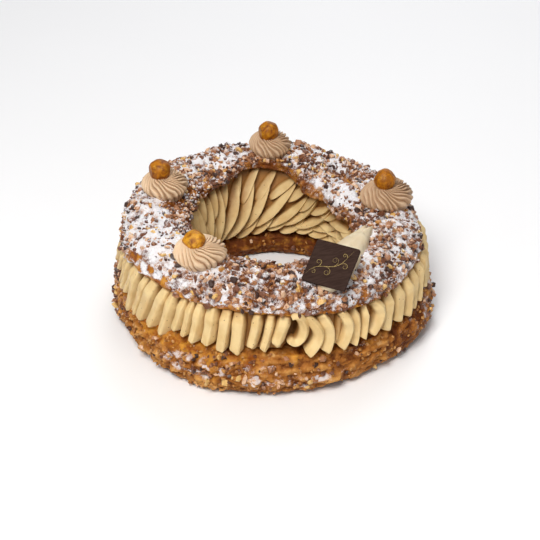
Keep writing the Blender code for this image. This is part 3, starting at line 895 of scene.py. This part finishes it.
def outer_ridges(rng):
    """The ridges outside, each a blade that leans more towards the left of the ring and, right of the
    join, bows like a bracket. A blade is about as wide as the room it has."""
    pitch = 360 / RIDGES
    foot = np.arange(RIDGES) * pitch + rng.uniform(-0.24, 0.24, RIDGES) * pitch
    front = np.array(FRONT_BLADES)
    foot = foot[(turn_from(foot, -90) < -67.5) | (turn_from(foot, -90) > 69.0)]
    count = len(foot)
    tip = crust_top(foot, SHOULDER) / MM + rng.uniform(-2.2, 3.4, count) - 2.6 * swell(foot, -14, 40)
    lean = 1.8 + 6.2 * swell(foot, -158, 60) + 1.5 * swell(foot, -14, 40) + rng.uniform(-0.9, 0.9, count)
    bow = 0.3 + 1.6 * swell(foot, -14, 40) + rng.uniform(-0.4, 0.4, count)
    foot, tip, lean, bow = np.concatenate((np.stack((foot, tip, lean, bow), -1), front)).T
    order = np.argsort(np.mod(foot, 360))
    foot, tip, lean, bow = (values[order] for values in (np.mod(foot, 360), tip * MM, lean, bow))
    turn = turn_from(np.append(foot, JOIN)[None], foot[:, None])
    ahead = np.where(turn > 0.01, turn, 360).min(axis=1)
    behind = np.where(turn < -0.01, -turn, 360).min(axis=1)
    room = np.minimum(0.5 * (ahead + behind), BLADE_WIDEST)
    count = len(foot)
    deep = rng.uniform(8.2, 10.0, count) * MM
    side = turn_from(foot, JOIN) / 70
    hollow = between(side, 0.0, 0.02) * between(side, 1.3, 0.6)
    wide = room * math.radians(1) * 96 * MM * rng.uniform(0.86, 1.06, count) * (1 - 0.22 * hollow)
    body = (91.0 + rng.uniform(-0.5, 0.5, count) - 1.8 * swell(foot, 180, 40)) * MM
    crest = rng.uniform(0.04, 0.28, count) + 0.02 * hollow
    left = (-0.44, rng.uniform(0.62, 0.92, count) - 0.12 * hollow)
    right = (0.44, rng.uniform(0.20, 0.42, count) + 0.36 * hollow)
    chisel = rng.uniform(0.4, 2.4, count) * (1 - 0.6 * hollow) * MM
    lowest = rng.uniform(-0.40, 0.10, count) + 0.3 * hollow
    section = blade(left, (crest, 1.0), right, BLADE_BEVEL)
    return hung(foot, tip, lean, bow, wide, deep, body, section, chisel, lowest)


def curled_strand():
    """Where the piping ends: a strand that curls like a C turned about, along part of an ellipse. It is
    widest at its right."""
    t = np.linspace(0, 1, 36)[None]
    turn = np.radians(-140 + 250 * t)
    angle = JOIN + 3.2 * np.cos(turn)
    height = 45.6 * MM + 9.2 * MM * np.sin(turn)
    open_end = shut(t / 0.05, 2.2)
    wide = (5.5 + 1.3 * np.cos(turn)) * MM
    body = 92.6 * MM - 1.2 * MM * t
    section = blade((np.array((-0.44,)), 0.50), (0.10, 1.0), (0.44, 0.55), BLADE_BEVEL)
    angle, radius, height = piped(angle, body, height, wide * open_end, 7.2 * MM * open_end, section, 1)
    return on_ring(angle, radius, height)


def slug_ridges(rng):
    """Softer, rounder rolls of cream that show deep in the gaps between some of the ridges."""
    pitch = 360 / RIDGES
    foot = (np.sort(rng.choice(RIDGES, SLUGS, replace=False)) + 0.5) * pitch + rng.uniform(-1.2, 1.2, SLUGS)
    foot = foot[(turn_from(foot, JOIN) < -5.0) | (turn_from(foot, JOIN) > 5.0)]
    count = len(foot)
    tip = crust_top(foot, SHOULDER) + rng.uniform(1.0, 4.0, count) * MM
    lean = 1.0 + 3.2 * swell(foot, 190, 75) + rng.uniform(-1.6, 1.6, count)
    wide, deep = rng.uniform(5.5, 8.0, count) * MM, rng.uniform(4.0, 6.0, count) * MM
    section = blade((-0.34 + 0 * foot, 0.75), (0.0, 1.0), (0.34, 0.75), 0.2)
    return hung(foot, tip, lean, 0.5, wide, deep, 90.2 * MM, section, 1.0 * MM, 0.0)


def wall_radius(angle, share):
    """Radius of the wall of cream round the hole, from the crust's edge up to the lid's."""
    edge = lid_inner_edge(angle)[0] + 4 * MM
    body = CREAM_INNER + (edge - CREAM_INNER) * ease(1.6 * share - 0.6)
    return body + 2.2 * MM - 1.2 * MM * (1 - np.abs(2 * np.clip(share, 0, 1) - 1) ** 3)


def wall_foot(angle):
    """Height of the foot of the wall of cream round the hole."""
    return crust_top(angle, INNER_SHOULDER + 3 * MM)


def wall_top(angle):
    """Height of the top of the wall of cream round the hole."""
    return cream_under_lid(angle, lid_inner_edge(angle)[0] + 4 * MM)


def rib_lean(angle):
    """Lean of the ribs from upright, in degrees, straight between the leans given along the ring."""
    places, leans = zip(*RIB_LEANS)
    return np.interp(turn_from(angle, 0), places, leans)


def summed(steps):
    """Places along paths, from their steps. Each path's two ends lie evenly about zero."""
    places = np.pad(np.cumsum(steps, axis=1), ((0, 0), (1, 0)))
    return places - 0.5 * places[:, -1:]


def leaf_tier(rng, level, length, shift, deep, more, curve):
    """Leaf-shaped ribs round the hole, in one tier. Each runs along a line that leans as the ring's ribs
    lean there, and more, and steepens upwards. It swells in the middle and runs to a point at each end."""
    pitch = 360 / RIBS
    middle = (np.arange(RIBS) + shift) * pitch + rng.uniform(-0.10, 0.10, RIBS) * pitch
    lean = np.radians(np.maximum(rib_lean(middle), 2) + more + rng.uniform(-4, 4, RIBS))[:, None]
    t = np.linspace(0, 1, 19)[None]
    t = 0.5 - 0.5 * np.cos(np.pi * (0.02 + 0.96 * t))
    run = length * rng.uniform(0.93, 1.07, RIBS)[:, None] * (1 - 0.20 * np.sin(lean) ** 2)
    bend = lean + math.radians(curve) * (1 - 2 * t) * np.abs(np.sin(lean)) ** 0.5
    step = np.diff(t, axis=1) * run
    slope = 0.5 * (bend[:, 1:] + bend[:, :-1])
    aside, climb = summed(step * np.sin(slope)), summed(step * np.cos(slope))
    angle = middle[:, None] - np.degrees(aside / (50 * MM))
    foot, top = wall_foot(angle), wall_top(angle)
    spread = level + rng.uniform(-0.04, 0.04, RIBS)[:, None]
    height = foot + (top - foot) * spread + climb
    height = np.clip(height, foot - 0.8 * MM, top + 1.0 * MM)
    body = wall_radius(angle, (height - foot) / (top - foot)) + 0.8 * MM
    shape = (t**0.45) * ((1 - t) ** 0.6)
    shape = shape / shape.max()
    wide = rng.uniform(7.0, 8.6, RIBS)[:, None] * MM * (1 - 0.20 * np.sin(lean)) * shape
    depth = rng.uniform(0.92, 1.08, RIBS)[:, None] * deep * shape**0.7
    crest = rng.uniform(-0.34, -0.20, RIBS)
    section = blade((-0.46, 0.20), (crest, 1.0), (0.44, rng.uniform(0.22, 0.44, RIBS)), 0.07)
    angle, radius, height = piped(angle, body + 0 * height, height, wide, depth, section, -1)
    leaves = on_ring(angle, radius, height)
    return leaves + 0.15 * MM * noise(leaves, 5 * MM, 45.0)[..., None]


def cream_core():
    """The body of cream behind the ridges: its section turned round the axis, between crust and lid."""
    angle = np.arange(CORE_COLUMNS) * 360 / CORE_COLUMNS
    zero = np.zeros_like(angle)
    low = crust_top(angle, SHOULDER) + 0.4 * MM
    high = cream_under_lid(angle, CREAM_OUTER - 4 * MM)
    corners = [
        (SHOULDER - 2 * MM + zero, low),
        (92.6 * MM + zero, low + 2 * MM),
        (91.4 * MM + zero, 0.5 * (low + high)),
        (CREAM_OUTER - 6 * MM + zero, high - 0.6 * MM),
        (CROWN_RADIUS + zero, cream_under_lid(angle, CROWN_RADIUS)),
    ]
    for share in (1.0, 0.8, 0.6, 0.4, 0.2, 0.0):
        level = wall_foot(angle) + (wall_top(angle) - wall_foot(angle)) * share
        corners.append((wall_radius(angle, share) + 1.0 * MM, level))
    corners.append((TRAY_RADIUS + zero, crust_top(angle, TRAY_RADIUS) + 0.4 * MM))
    line = rounded_section(corners, (2, 5, 5, 4, 4, 4, 4, 4, 4, 4, 4, 4), 1)
    notch = swell(angle, JOIN - 0.5, 4.6)[:, None] * between(line[..., 0], 87 * MM, 91 * MM)
    line[..., 0] -= 12 * MM * notch
    return on_ring(angle[:, None], line[..., 0], line[..., 1])


def piped_cream():
    """The cream: its core, and every ridge and rib as a closed roll. Rolls that come out inside out have
    their faces turned over."""
    rng = np.random.default_rng(33)
    groups = [outer_ridges(rng), curled_strand(), slug_ridges(rng)]
    groups += [leaf_tier(rng, *tier) for tier in RIB_TIERS]
    core = cream_core()
    quads = ring_faces(*core.shape[:2])
    points = [core.reshape(-1, 3)]
    faces = [quads[:, [0, 1, 2]], quads[:, [0, 2, 3]]]
    start = len(points[0])
    for rolls in groups:
        many, rings, around = rolls.shape[:3]
        made = roll_points(rolls).reshape(-1, 3)
        corners = roll_faces(many, rings, around)
        a, b, c = made[corners].transpose(1, 0, 2)
        solid = np.einsum("ij,ij->i", a, np.cross(b, c)).sum()
        faces.append((corners if solid > 0 else corners[:, ::-1]) + start)
        points.append(made)
        start += len(made)
    points = np.concatenate(points)
    angle, radius = polar(points)
    foot, top = wall_foot(angle), wall_top(angle)
    body = wall_radius(angle, np.clip((points[:, 2] - foot) / (top - foot), 0, 1))
    # Painted light for the cream: low, so painted shade, deep between the ridges outside and between the ribs
    # round the hole; round the hole it is lower still towards the back left, about 118 degrees, and higher
    # elsewhere.
    outside = between(radius, 91.5 * MM, 98.5 * MM)
    inside = between(radius, body + 1 * MM, body - 6 * MM) * (1.25 - 0.50 * swell(angle, 118, 60))
    fold = np.where(radius > 75 * MM, outside, inside)
    faces = np.concatenate(faces)
    piece = make_piece("praline_cream_piped", points, faces, PRALINE_CREAM, "praline_cream", fold=fold)
    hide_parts("cream_ring")


# ---- dressed top

# Half of a rosette's outline, from its middle outwards and down, as shares of its half width and height
ROSETTE_OUTLINE = np.array((
    (0.05, 0.84), (0.22, 0.92), (0.42, 0.94), (0.60, 0.88), (0.78, 0.73), (0.91, 0.51), (0.965, 0.30),
    (0.93, 0.12), (0.85, -0.04), (0.76, -0.32),
))
ROSETTE_RINGS = 64
ROSETTE_COLUMNS = 288
# Lengths in mm of the tendrils of the gold vine, from left to right
TENDRILS = (9.0, 12.5, 15.0, 15.0, 12.5, 9.0)
NUT_RINGS = 56
NUT_COLUMNS = 112


def rosette(place, shade):
    """A rosette: rings of its profile about its own axis, with ridges that turn as they run outwards.
    A ridge is the distance of a cosine from zero, so its sides are full and its creases sharp. Its creases
    are painted darker as painted shade, and shade scales its painted light: the lower it is, the more of
    its cream is in painted shade."""
    angle, ring_radius, width, _ = ROSETTES[place]
    half = 0.5 * width
    foot = crown_place(float(angle), ring_radius)
    known = np.arange(len(ROSETTE_OUTLINE))
    spot = np.linspace(0, known[-1], ROSETTE_RINGS)
    across, rise = (np.interp(spot, known, values) for values in ROSETTE_OUTLINE.T)
    for values in (across, rise) * 6:
        values[1:-1] = 0.5 * values[1:-1] + 0.25 * (values[2:] + values[:-2])
    phi = full_turn(ROSETTE_COLUMNS)
    start = math.radians(angle) + 0.7 * len(place)
    uneven = 0.10 * np.sin(3 * phi + angle) + 0.06 * np.sin(7 * phi + 2.0 * angle)
    widest = np.maximum.accumulate(across) + 0.03 * np.maximum(spot - 6, 0)
    turned = (phi + uneven)[None] - ROSETTE_TWIST * widest[:, None] - start
    ridge = np.abs(np.cos(0.5 * ROSETTE_RIDGES * turned)) ** 0.9 - 0.62
    strength = between(across, 0.08, 0.5) * (1 - 0.3 * between(spot, 7.6, 9.0))
    push = 0.15 * half * ridge * strength[:, None]
    # Painted shade: darker in the creases between ridges, and over the whole rosette the lower its shade is.
    fold = (0.55 + 1.2 * ridge) * shade
    lumpy = 1 + 0.035 * np.sin(2 * phi + 1.0 + angle) + 0.025 * np.sin(3 * phi + 2.0 * angle)
    radius = across[:, None] * half * lumpy[None] + push
    height = rise[:, None] * ROSETTE_HEIGHT + 0.6 * push
    points = np.stack((radius * np.cos(phi), radius * np.sin(phi), height + 0 * radius), -1)
    points = points + foot
    points = points + 0.1 * MM * noise(points, 3 * MM, 51.0)[..., None]
    fold = roll_points(np.repeat(fold[None, ::-1, :, None], 3, axis=-1))[..., 0]
    name = "rosette_" + place + "_piped"
    piece = make_roll(name, points[::-1], ROSETTE_CREAM, "rosette_cream", fold=fold)
    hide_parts("rosette_" + place)


def hazelnut(place, facet, peaked):
    """A hazelnut: rings of a sphere, wider than high, drawn up to a point, with dents of noise and as
    many flat cuts as facet says. The more cuts, the brighter it is."""
    angle, ring_radius, _, offset = ROSETTES[place]
    rise = ROSETTE_HEIGHT - NUT_SINK + 0.5 * NUT_HEIGHT
    middle = crown_place(float(angle), ring_radius) + np.array(offset) + np.array((0, 0, rise))
    tilt = np.radians(np.linspace(-86, 87, NUT_RINGS))[:, None]
    phi = full_turn(NUT_COLUMNS)
    peak = peaked * np.maximum(np.sin(tilt), 0) ** 9
    level = 0.5 * NUT_WIDTH * np.abs(np.cos(tilt)) ** 0.86
    up = 0.5 * NUT_HEIGHT * (0.93 * np.sin(tilt) + peak) + 0 * phi
    away = np.stack((level * np.cos(phi), level * np.sin(phi), up), -1)
    grooves = 0.016 * np.cos(8 * phi + 0.5 * angle) * np.cos(tilt)
    dents = 0.06 * rough(away + 10 * middle, 7 * MM, 2, 61.0)
    points = away * (1 + grooves + dents)[..., None]
    rng = np.random.default_rng(len(place) + 70)
    for _ in range(facet):
        cut = unit(rng.normal(size=3))
        beyond = points @ cut - rng.uniform(0.78, 0.90) * 0.5 * NUT_WIDTH
        points = points - 0.9 * np.maximum(beyond, 0)[..., None] * cut
    bright = np.full(NUT_RINGS * NUT_COLUMNS + 2, 0.05 * facet - 0.15)
    name = "hazelnut_" + place + "_glazed"
    piece = make_roll(name, points + middle, HAZELNUT, "caramelised_hazelnut", high=bright)
    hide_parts("hazelnut_" + place)


def plaque_frame():
    """Where the plaque lies, as a 4 x 4 matrix."""
    turn = Matrix.Rotation(math.radians(PLAQUE_HEADING), 4, "Z")
    pitch = Matrix.Rotation(math.radians(PLAQUE_PITCH), 4, "X")
    return Matrix.Translation(PLAQUE_CENTRE) @ turn @ pitch


def placed(points, matrix):
    """Points turned and moved by a 4 x 4 matrix."""
    turn = np.array(matrix)[:3, :3]
    return points @ turn.T + np.array(matrix)[:3, 3]


def plaque():
    """The plaque: rounded squares one above the other. A rounded square is a superellipse."""
    phi = full_turn(120)
    power = 2 / 26
    x = np.sign(np.cos(phi)) * np.abs(np.cos(phi)) ** power
    y = np.sign(np.sin(phi)) * np.abs(np.sin(phi)) ** power
    size = np.array((0.03, 0.4, 0.8, 0.97, 0.992, 1.0, 1.0, 0.992, 0.97, 0.8, 0.4, 0.03))
    level = np.array((-1, -1, -1, -1, -0.94, -0.75, 0.75, 0.94, 1, 1, 1, 1))
    half = 0.5 * PLAQUE_SIDE
    rise = 0.5 * PLAQUE_THICK * level[:, None] + 0 * x
    points = np.stack((half * size[:, None] * x, half * size[:, None] * y, rise), -1)
    piece = make_roll("plaque_moulded", placed(points, plaque_frame()), CHOCOLATE, "dark_chocolate")
    piece.data.set_sharp_from_angle(angle=math.radians(35))
    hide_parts("chocolate_plaque")


def gold_swirls():
    """Gold on the plaque: a long wave from corner to corner, with tendrils on alternate sides. A tendril
    leaves the wave and turns ever more tightly into a curl."""
    s = np.linspace(0, 1, 64)
    heading = math.radians(40)
    run, aside = 15.5 * (2 * s - 1), 2.4 * np.sin(2 * np.pi * 1.1 * s + 0.4)
    x = run * math.cos(heading) - aside * math.sin(heading)
    y = run * math.sin(heading) + aside * math.cos(heading)
    wave = np.arctan2(np.gradient(y), np.gradient(x))
    strokes = [(x, y, 0.05 + 0.12 * np.sin(np.pi * s) ** 2)]
    for k, i in enumerate(range(7, 60, 9)):
        side = 1 if k % 2 else -1
        step = TENDRILS[k] / len(s)
        bend = wave[i] + side * (math.radians(24) + math.radians(470) * s**1.7)
        ahead, up = step * np.cumsum(np.cos(bend)), step * np.cumsum(np.sin(bend))
        strokes.append((x[i] + ahead, y[i] + up, 0.16 - 0.11 * s))
    x, y, wide = (MM * np.array(strokes)).transpose(1, 0, 2)[..., None]
    slope = np.arctan2(np.gradient(y, axis=1), np.gradient(x, axis=1))
    a = np.arange(6) * np.pi / 3
    level = 0.5 * PLAQUE_THICK + 0.035 * MM * np.sin(a)
    ring = (x - np.sin(slope) * wide * np.cos(a), y + np.cos(slope) * wide * np.cos(a), level + 0 * x)
    points = placed(np.stack(ring, -1), plaque_frame())
    faces = roll_faces(*points.shape[:3])
    make_piece("plaque_gold_swirls", roll_points(points), faces, GOLD, "dark_chocolate")


def cream_dab():
    """The dab under the plaque: an ellipsoid that narrows and thins towards its far end, which has two
    prongs, pressed flat by the plaque."""
    tilt = np.radians(np.linspace(-84, 84, 40))[:, None]
    around = np.arange(112) * 360 / 112
    b = np.radians(around)
    prongs = swells(around, 0, ((0.12, 21, 17), (0.10, 339, 17), (-0.08, 0, 14)))
    x = 0.5 * DAB_LENGTH * np.cos(tilt) * np.cos(b) * (1 + prongs * np.cos(tilt))
    taper = 1 - DAB_TAPER * x / (0.5 * DAB_LENGTH)
    y = 0.5 * DAB_WIDTH * taper * np.cos(tilt) * np.sin(b)
    z = 0.5 * DAB_HEIGHT * taper * np.sin(tilt)
    turn = Matrix.Translation(DAB_CENTRE) @ Matrix.Rotation(math.radians(DAB_HEADING), 4, "Z")
    points = placed(np.stack((x, y, z), -1), turn)
    points = points + 0.5 * MM * rough(points, 7 * MM, 3, 55.0)[..., None]
    facing = np.array(plaque_frame())[:3, 2]
    beyond = (points - np.array(PLAQUE_CENTRE)) @ facing + 0.5 * PLAQUE_THICK + 0.3 * MM
    points = points - np.maximum(beyond, 0)[..., None] * facing
    fold = np.ones(40 * 112 + 2)
    piece = make_roll("cream_dab_smeared", points, PALE_CREAM, "pale_cream", fold=fold)
    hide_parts("cream_dab")


# ---- loose toppings


def ball_of_facets():
    """Corners and faces of an icosahedron of radius 1."""
    gold = (1 + 5**0.5) / 2
    corners = []
    for a, b in itertools.product((-1, 1), (-gold, gold)):
        corners += [(a, b, 0), (0, a, b), (b, 0, a)]
    corners = np.array(corners, float)
    far = np.linalg.norm(corners[:, None] - corners[None], axis=-1)
    faces = []
    for i, j, k in itertools.combinations(range(12), 3):
        if max(far[i, j], far[j, k], far[i, k]) < 2.1:
            out = np.dot(np.cross(corners[j] - corners[i], corners[k] - corners[i]), corners[i])
            faces.append((i, j, k) if out > 0 else (i, k, j))
    return corners / np.linalg.norm(corners[0]), np.array(faces)


BALL = ball_of_facets()


def turned_about(rng, count):
    """Random turns, as 3 x 3 matrices from unit quaternions."""
    w, x, y, z = unit(rng.normal(size=(count, 4))).T
    rows = (
        (1 - 2 * (y * y + z * z), 2 * (x * y - z * w), 2 * (x * z + y * w)),
        (2 * (x * y + z * w), 1 - 2 * (x * x + z * z), 2 * (y * z - x * w)),
        (2 * (x * z - y * w), 2 * (y * z + x * w), 1 - 2 * (x * x + y * y)),
    )
    return np.array(rows).transpose(2, 0, 1)


def chips(rng, places, normals, size, sink, cuts):
    """A chip at each place: the ball of facets, its corners pulled in and out at random and pressed back
    to a few flat cuts, stretched unevenly, turned about and sunk a share of its size into the surface."""
    corners, faces = BALL
    count = len(places)
    shape = corners[None] * rng.uniform(0.80, 1.16, (count, len(corners), 1))
    for _ in range(cuts):
        cut = unit(rng.normal(size=(count, 1, 3)))
        beyond = (shape * cut).sum(-1, keepdims=True) - rng.uniform(0.18, 0.62, (count, 1, 1))
        shape = shape - np.maximum(beyond, 0) * cut
    shape = shape * rng.uniform(0.62, 1.36, (count, 1, 3))
    shape = np.einsum("nij,nkj->nki", turned_about(rng, count), shape * 0.5 * size[:, None, None])
    points = shape + (places + normals * (0.5 - sink) * size[:, None])[:, None]
    made = (faces[None] + len(corners) * np.arange(count)[:, None, None]).reshape(-1, 3)
    return points, made


def scattered(rng, points, normals, want, spacing):
    """Places on a grid surface, drawn with a chance that follows want and the area of each cell, and
    thinned to one in each cube as wide as the spacing."""
    along = np.linalg.norm(np.roll(points, -1, 0) - points, axis=-1)
    across = np.linalg.norm(np.roll(points, -1, 1) - points, axis=-1)
    chance = (along * across * np.clip(want, 0, None)).ravel()
    count = rng.poisson(chance.sum())
    picked = rng.choice(chance.size, count, p=chance / chance.sum())
    blocks = np.floor(points.reshape(-1, 3)[picked] / spacing).astype(int)
    _, first = np.unique(blocks, axis=0, return_index=True)
    picked = picked[np.sort(first)]
    jitter = rng.uniform(-0.3, 0.3, (len(picked), 3)) * MM
    return points.reshape(-1, 3)[picked] + jitter, normals.reshape(-1, 3)[picked]


# Large and small pieces of nut: spacing, how many, least and greatest width in mm
NUT_GRADES = ((2.6 * MM, 1.0, 3.0, 6.6), (1.5 * MM, 0.8, 1.3, 2.8))
# Chopped nuts by roast: skin, flesh, how much of a piece is flesh, share of all pieces
NUT_KINDS = {
    "dark": ((0.052, 0.020, 0.012), (0.19, 0.070, 0.034), 0.14, 0.33),
    "brown": ((0.165, 0.054, 0.020), (0.40, 0.175, 0.075), 0.22, 0.40),
    "tan": ((0.42, 0.180, 0.085), (0.76, 0.48, 0.30), 0.28, 0.18),
    "golden": ((0.55, 0.24, 0.055), (0.80, 0.50, 0.17), 0.28, 0.09),
}


def nut_wants(lid, base):
    """Where the lid is clear of rosettes and plaque, and how many nuts lie on each square metre of it
    and of the base."""
    places, normals, _ = lid
    angle, radius = polar(places)
    clear = np.ones_like(radius)
    for at, ring_radius, width, _ in ROSETTES.values():
        middle = crown_place(float(at), ring_radius)
        clear = clear * (np.linalg.norm((places - middle)[..., :2], axis=-1) > 0.42 * width)
    clear = clear * (np.linalg.norm((places - np.array(PLAQUE_CENTRE))[..., :2], axis=-1) > 9 * MM)
    want = swells(angle, 0.078, ((-0.036, 184, 50), (-0.030, -142, 28), (-0.018, 4, 44)))
    inner = between(radius, 70 * MM, 61 * MM)
    want = want + inner * (0.05 + 0.07 * swell(angle, 172, 40) - 0.08 * swell(angle, 36, 26))
    want = want + 0.05 * swell(angle, -172, 30) * between(radius, 88 * MM, 95 * MM)
    want = want * clear * between(normals[..., 2], -0.7, -0.2) * (1 + 0.8 * rough(places, 9 * MM, 2, 81.0))
    rim = between(radius - lid_inner_edge(angle)[0], 3.4 * MM, 1.8 * MM) * swell(angle, 80, 62) ** 0.5
    want = want * (1 - 0.95 * rim)
    climb = climb_from_edge(places)
    want = want * (1 - 0.97 * swell(angle, *BARE_PATCH) ** 0.5 * between(climb, 10 * MM, 8 * MM))
    on_flap = between(radius, 62 * MM, 58 * MM) * swell(angle, 32, 40) ** 0.5
    want = want * (1 - 0.62 * on_flap) + 0.05 * flap_tear(places) * clear
    lid_want = want * between(climb, 1.2 * MM, 2.6 * MM) / MM**2
    places, _ = base
    angle, radius = polar(places)
    height = places[..., 2]
    outside = between(radius, 96 * MM, 99 * MM) * between(height, 2 * MM, 5 * MM)
    want = 0.003 + 0.060 * swell(angle, -172, 30)
    want = want + 0.020 * swell(angle, -112, 34) * between(height, 8 * MM, 12 * MM)
    want = swells(angle, want, ((0.026, -8, 30), (0.006, -75, 26), (0.03, 90, 60)))
    want = want * outside + 0.004 * between(radius, 56 * MM, 53 * MM) * between(height, 4 * MM, 6 * MM)
    base_want = want / MM**2 * (1 + 0.8 * rough(places, 9 * MM, 2, 83.0))
    return clear, lid_want, base_want


def dusted(points, share):
    """Sugar on loose pieces: on the corners that look up, more of it towards the left of the ring, less
    on the base and none in the hole's lower half."""
    out = unit(points - points.mean(axis=1, keepdims=True))
    middle = points.mean(axis=1)
    angle, radius = polar(middle)
    lid = between(middle[:, 2], 34 * MM, 44 * MM)
    settled = swells(angle, 0.46 * lid - 0.02, ((0.26, 180, 70), (0.14, 0, 60), (-0.10, 90, 50)))
    settled = settled + 0.34 * rough(middle, 6 * MM, 2, 85.0) + share
    settled = settled * np.maximum(lid, between(radius, 80 * MM, 90 * MM))
    return settled[:, None] * between(out[..., 2], 0.0, 0.9)


def loose_piece(name, rng, spots, ups, size, cuts, finish, slot):
    """One piece of many chips, each with its own dust of sugar and its own tone."""
    points, faces = chips(rng, spots, ups, size, 0.42, cuts)
    dust = dusted(points, rng.uniform(-0.25, 0.25, len(spots)))
    tone = np.broadcast_to(rng.uniform(0, 1, len(spots))[:, None], dust.shape)
    piece = make_piece(name, points, faces, finish, slot, dust=dust, tone=tone)
    piece.data.shade_flat()


def nuts_and_sugar(lid, base):
    """Chopped nuts of four roasts, crumbs of choux and clumps of sugar, over the lid and the base."""
    rng = np.random.default_rng(90)
    clear, lid_want, base_want = nut_wants(lid, base)
    spots, ups, size = [], [], []
    for places, normals, want in ((*lid[:2], lid_want), (*base, base_want)):
        for spacing, more, low, high in NUT_GRADES:
            at, up = scattered(rng, places, normals, want * more, spacing)
            spots.append(at)
            ups.append(up)
            size.append((low + (high - low) * rng.beta(1.6, 2.8, len(at))) * MM)
    spots, ups, size = np.concatenate(spots), np.concatenate(ups), np.concatenate(size)
    kind = rng.choice(len(NUT_KINDS), len(spots), p=[share for *_, share in NUT_KINDS.values()])
    for k, (roast, (skin, flesh, flesh_share, _)) in enumerate(NUT_KINDS.items()):
        finish = chopped_finish("chopped_nut_" + roast, skin, flesh, flesh_share)
        own = kind == k
        name = "chopped_nuts_" + roast
        loose_piece(name, rng, spots[own], ups[own], size[own], 4, finish, "caramelised_hazelnut")
    crumb = chopped_finish("choux_crumb", (0.34, 0.120, 0.020), (0.56, 0.27, 0.07), 0.22)
    places, normals = base
    angle, radius = polar(places)
    sides = between(radius, 95 * MM, 98 * MM) * (0.5 + 0.8 * swell(angle, -150, 75))
    sides = (sides + 0.35 * between(radius, 57 * MM, 54 * MM)) * between(places[..., 2], 1 * MM, 3 * MM)
    want = 0.036 * sides * (1 + 0.9 * rough(places, 7 * MM, 2, 87.0)) / MM**2
    spots, ups = scattered(rng, places, normals, want, 1.3 * MM)
    size = rng.uniform(1.4, 3.2, len(spots)) * MM
    loose_piece("choux_crumbs", rng, spots, ups, size, 2, crumb, "baked_choux")
    places, normals, sugar = lid
    grains = between(sugar, 0.35, 0.8) * clear * 0.22 / MM**2
    spots, ups = scattered(rng, places, normals, grains, 0.7 * MM)
    size = np.clip(rng.gamma(5.0, 0.12, len(spots)), 0.3, 1.3) * MM
    points, faces = chips(rng, spots, ups, size, 0.35, 1)
    make_piece("icing_sugar_clumps", points, faces, SUGAR, "baked_choux")


# ---- build

base_surface = lower_crust()
lid_surface = upper_crust()
piped_cream()
# Each rosette's shade, which scales its painted light (brightest in front, darkest at the right), and how
# many facets its nut has and how peaked it is
TOPS = (("back", 0.50, 4, 0.10), ("left", 0.80, 3, 0.04), ("front", 1.35, 10, 0.02), ("right", 0.42, 3, 0.16))
for place, shade, facet, peaked in TOPS:
    rosette(place, shade)
    hazelnut(place, facet, peaked)
plaque()
gold_swirls()
cream_dab()
nuts_and_sugar(lid_surface, base_surface)


# ---- studio

CAMERA_RISE = math.radians(34)
CAMERA_LENS = 104.13
CAMERA_AIM = (-1.28 * MM, -7.98 * MM, 28.16 * MM)
PASTRY_MIDDLE = (0, 0, 0.04)
BEHIND_PASTRY = (0, 0.55, 0)

def add_floor():
    """A wide pale floor."""
    bpy.ops.mesh.primitive_plane_add(size=12, location=(0, 0, -0.0002))
    floor = bpy.context.object
    floor.name = "studio_floor"
    finish = Finish("studio_floor", Roughness=0.55)
    colour = finish.blend(finish.speckle(0.3, 2.0), (0.89, 0.89, 0.90), (0.92, 0.92, 0.93))
    floor.data.materials.append(finish.link(Base_Color=colour))


def add_light(name, place, aim, size, power, colour):
    """A square softbox at a place, turned towards its aim."""
    lamp = bpy.data.lights.new(name, "AREA")
    lamp.size = size
    lamp.energy = power
    lamp.color = colour
    light = bpy.data.objects.new(name, lamp)
    light.location = place
    light.rotation_euler = (Vector(aim) - Vector(place)).to_track_quat("-Z", "Y").to_euler()
    bpy.context.scene.collection.objects.link(light)


def add_camera():
    """A long lens, 34 degrees above the table, that looks at a point low in the front of the ring."""
    data = bpy.data.cameras.new("studio_camera")
    data.sensor_width = 36
    data.lens = CAMERA_LENS
    camera = bpy.data.objects.new("studio_camera", data)
    camera.location = (0, -math.cos(CAMERA_RISE), 0.040 + math.sin(CAMERA_RISE))
    camera.rotation_euler = (Vector(CAMERA_AIM) - camera.location).to_track_quat("-Z", "Y").to_euler()
    bpy.context.scene.collection.objects.link(camera)
    bpy.context.scene.camera = camera


add_floor()
add_light("key", (-0.24, -0.66, 1.00), PASTRY_MIDDLE, 0.50, 13.1, (1.0, 0.985, 0.955))
add_light("left_fill", (-1.0, -0.75, 0.55), PASTRY_MIDDLE, 0.7, 0.9, (1.0, 0.99, 0.97))
add_light("right_fill", (0.9, -0.95, 0.55), PASTRY_MIDDLE, 0.7, 1.4, (1.0, 0.99, 0.97))
add_light("back", (0.25, 1.0, 1.0), BEHIND_PASTRY, 0.8, 7.0, (0.97, 0.98, 1.0))
world = bpy.data.worlds.new("studio")
world.use_nodes = True
backdrop = world.node_tree.nodes["Background"].inputs
backdrop["Color"].default_value = (0.98, 0.98, 1.0, 1)
backdrop["Strength"].default_value = 0.27
bpy.context.scene.world = world
bpy.context.scene.view_settings.view_transform = "Standard"
add_camera()

bpy.context.view_layer.update()
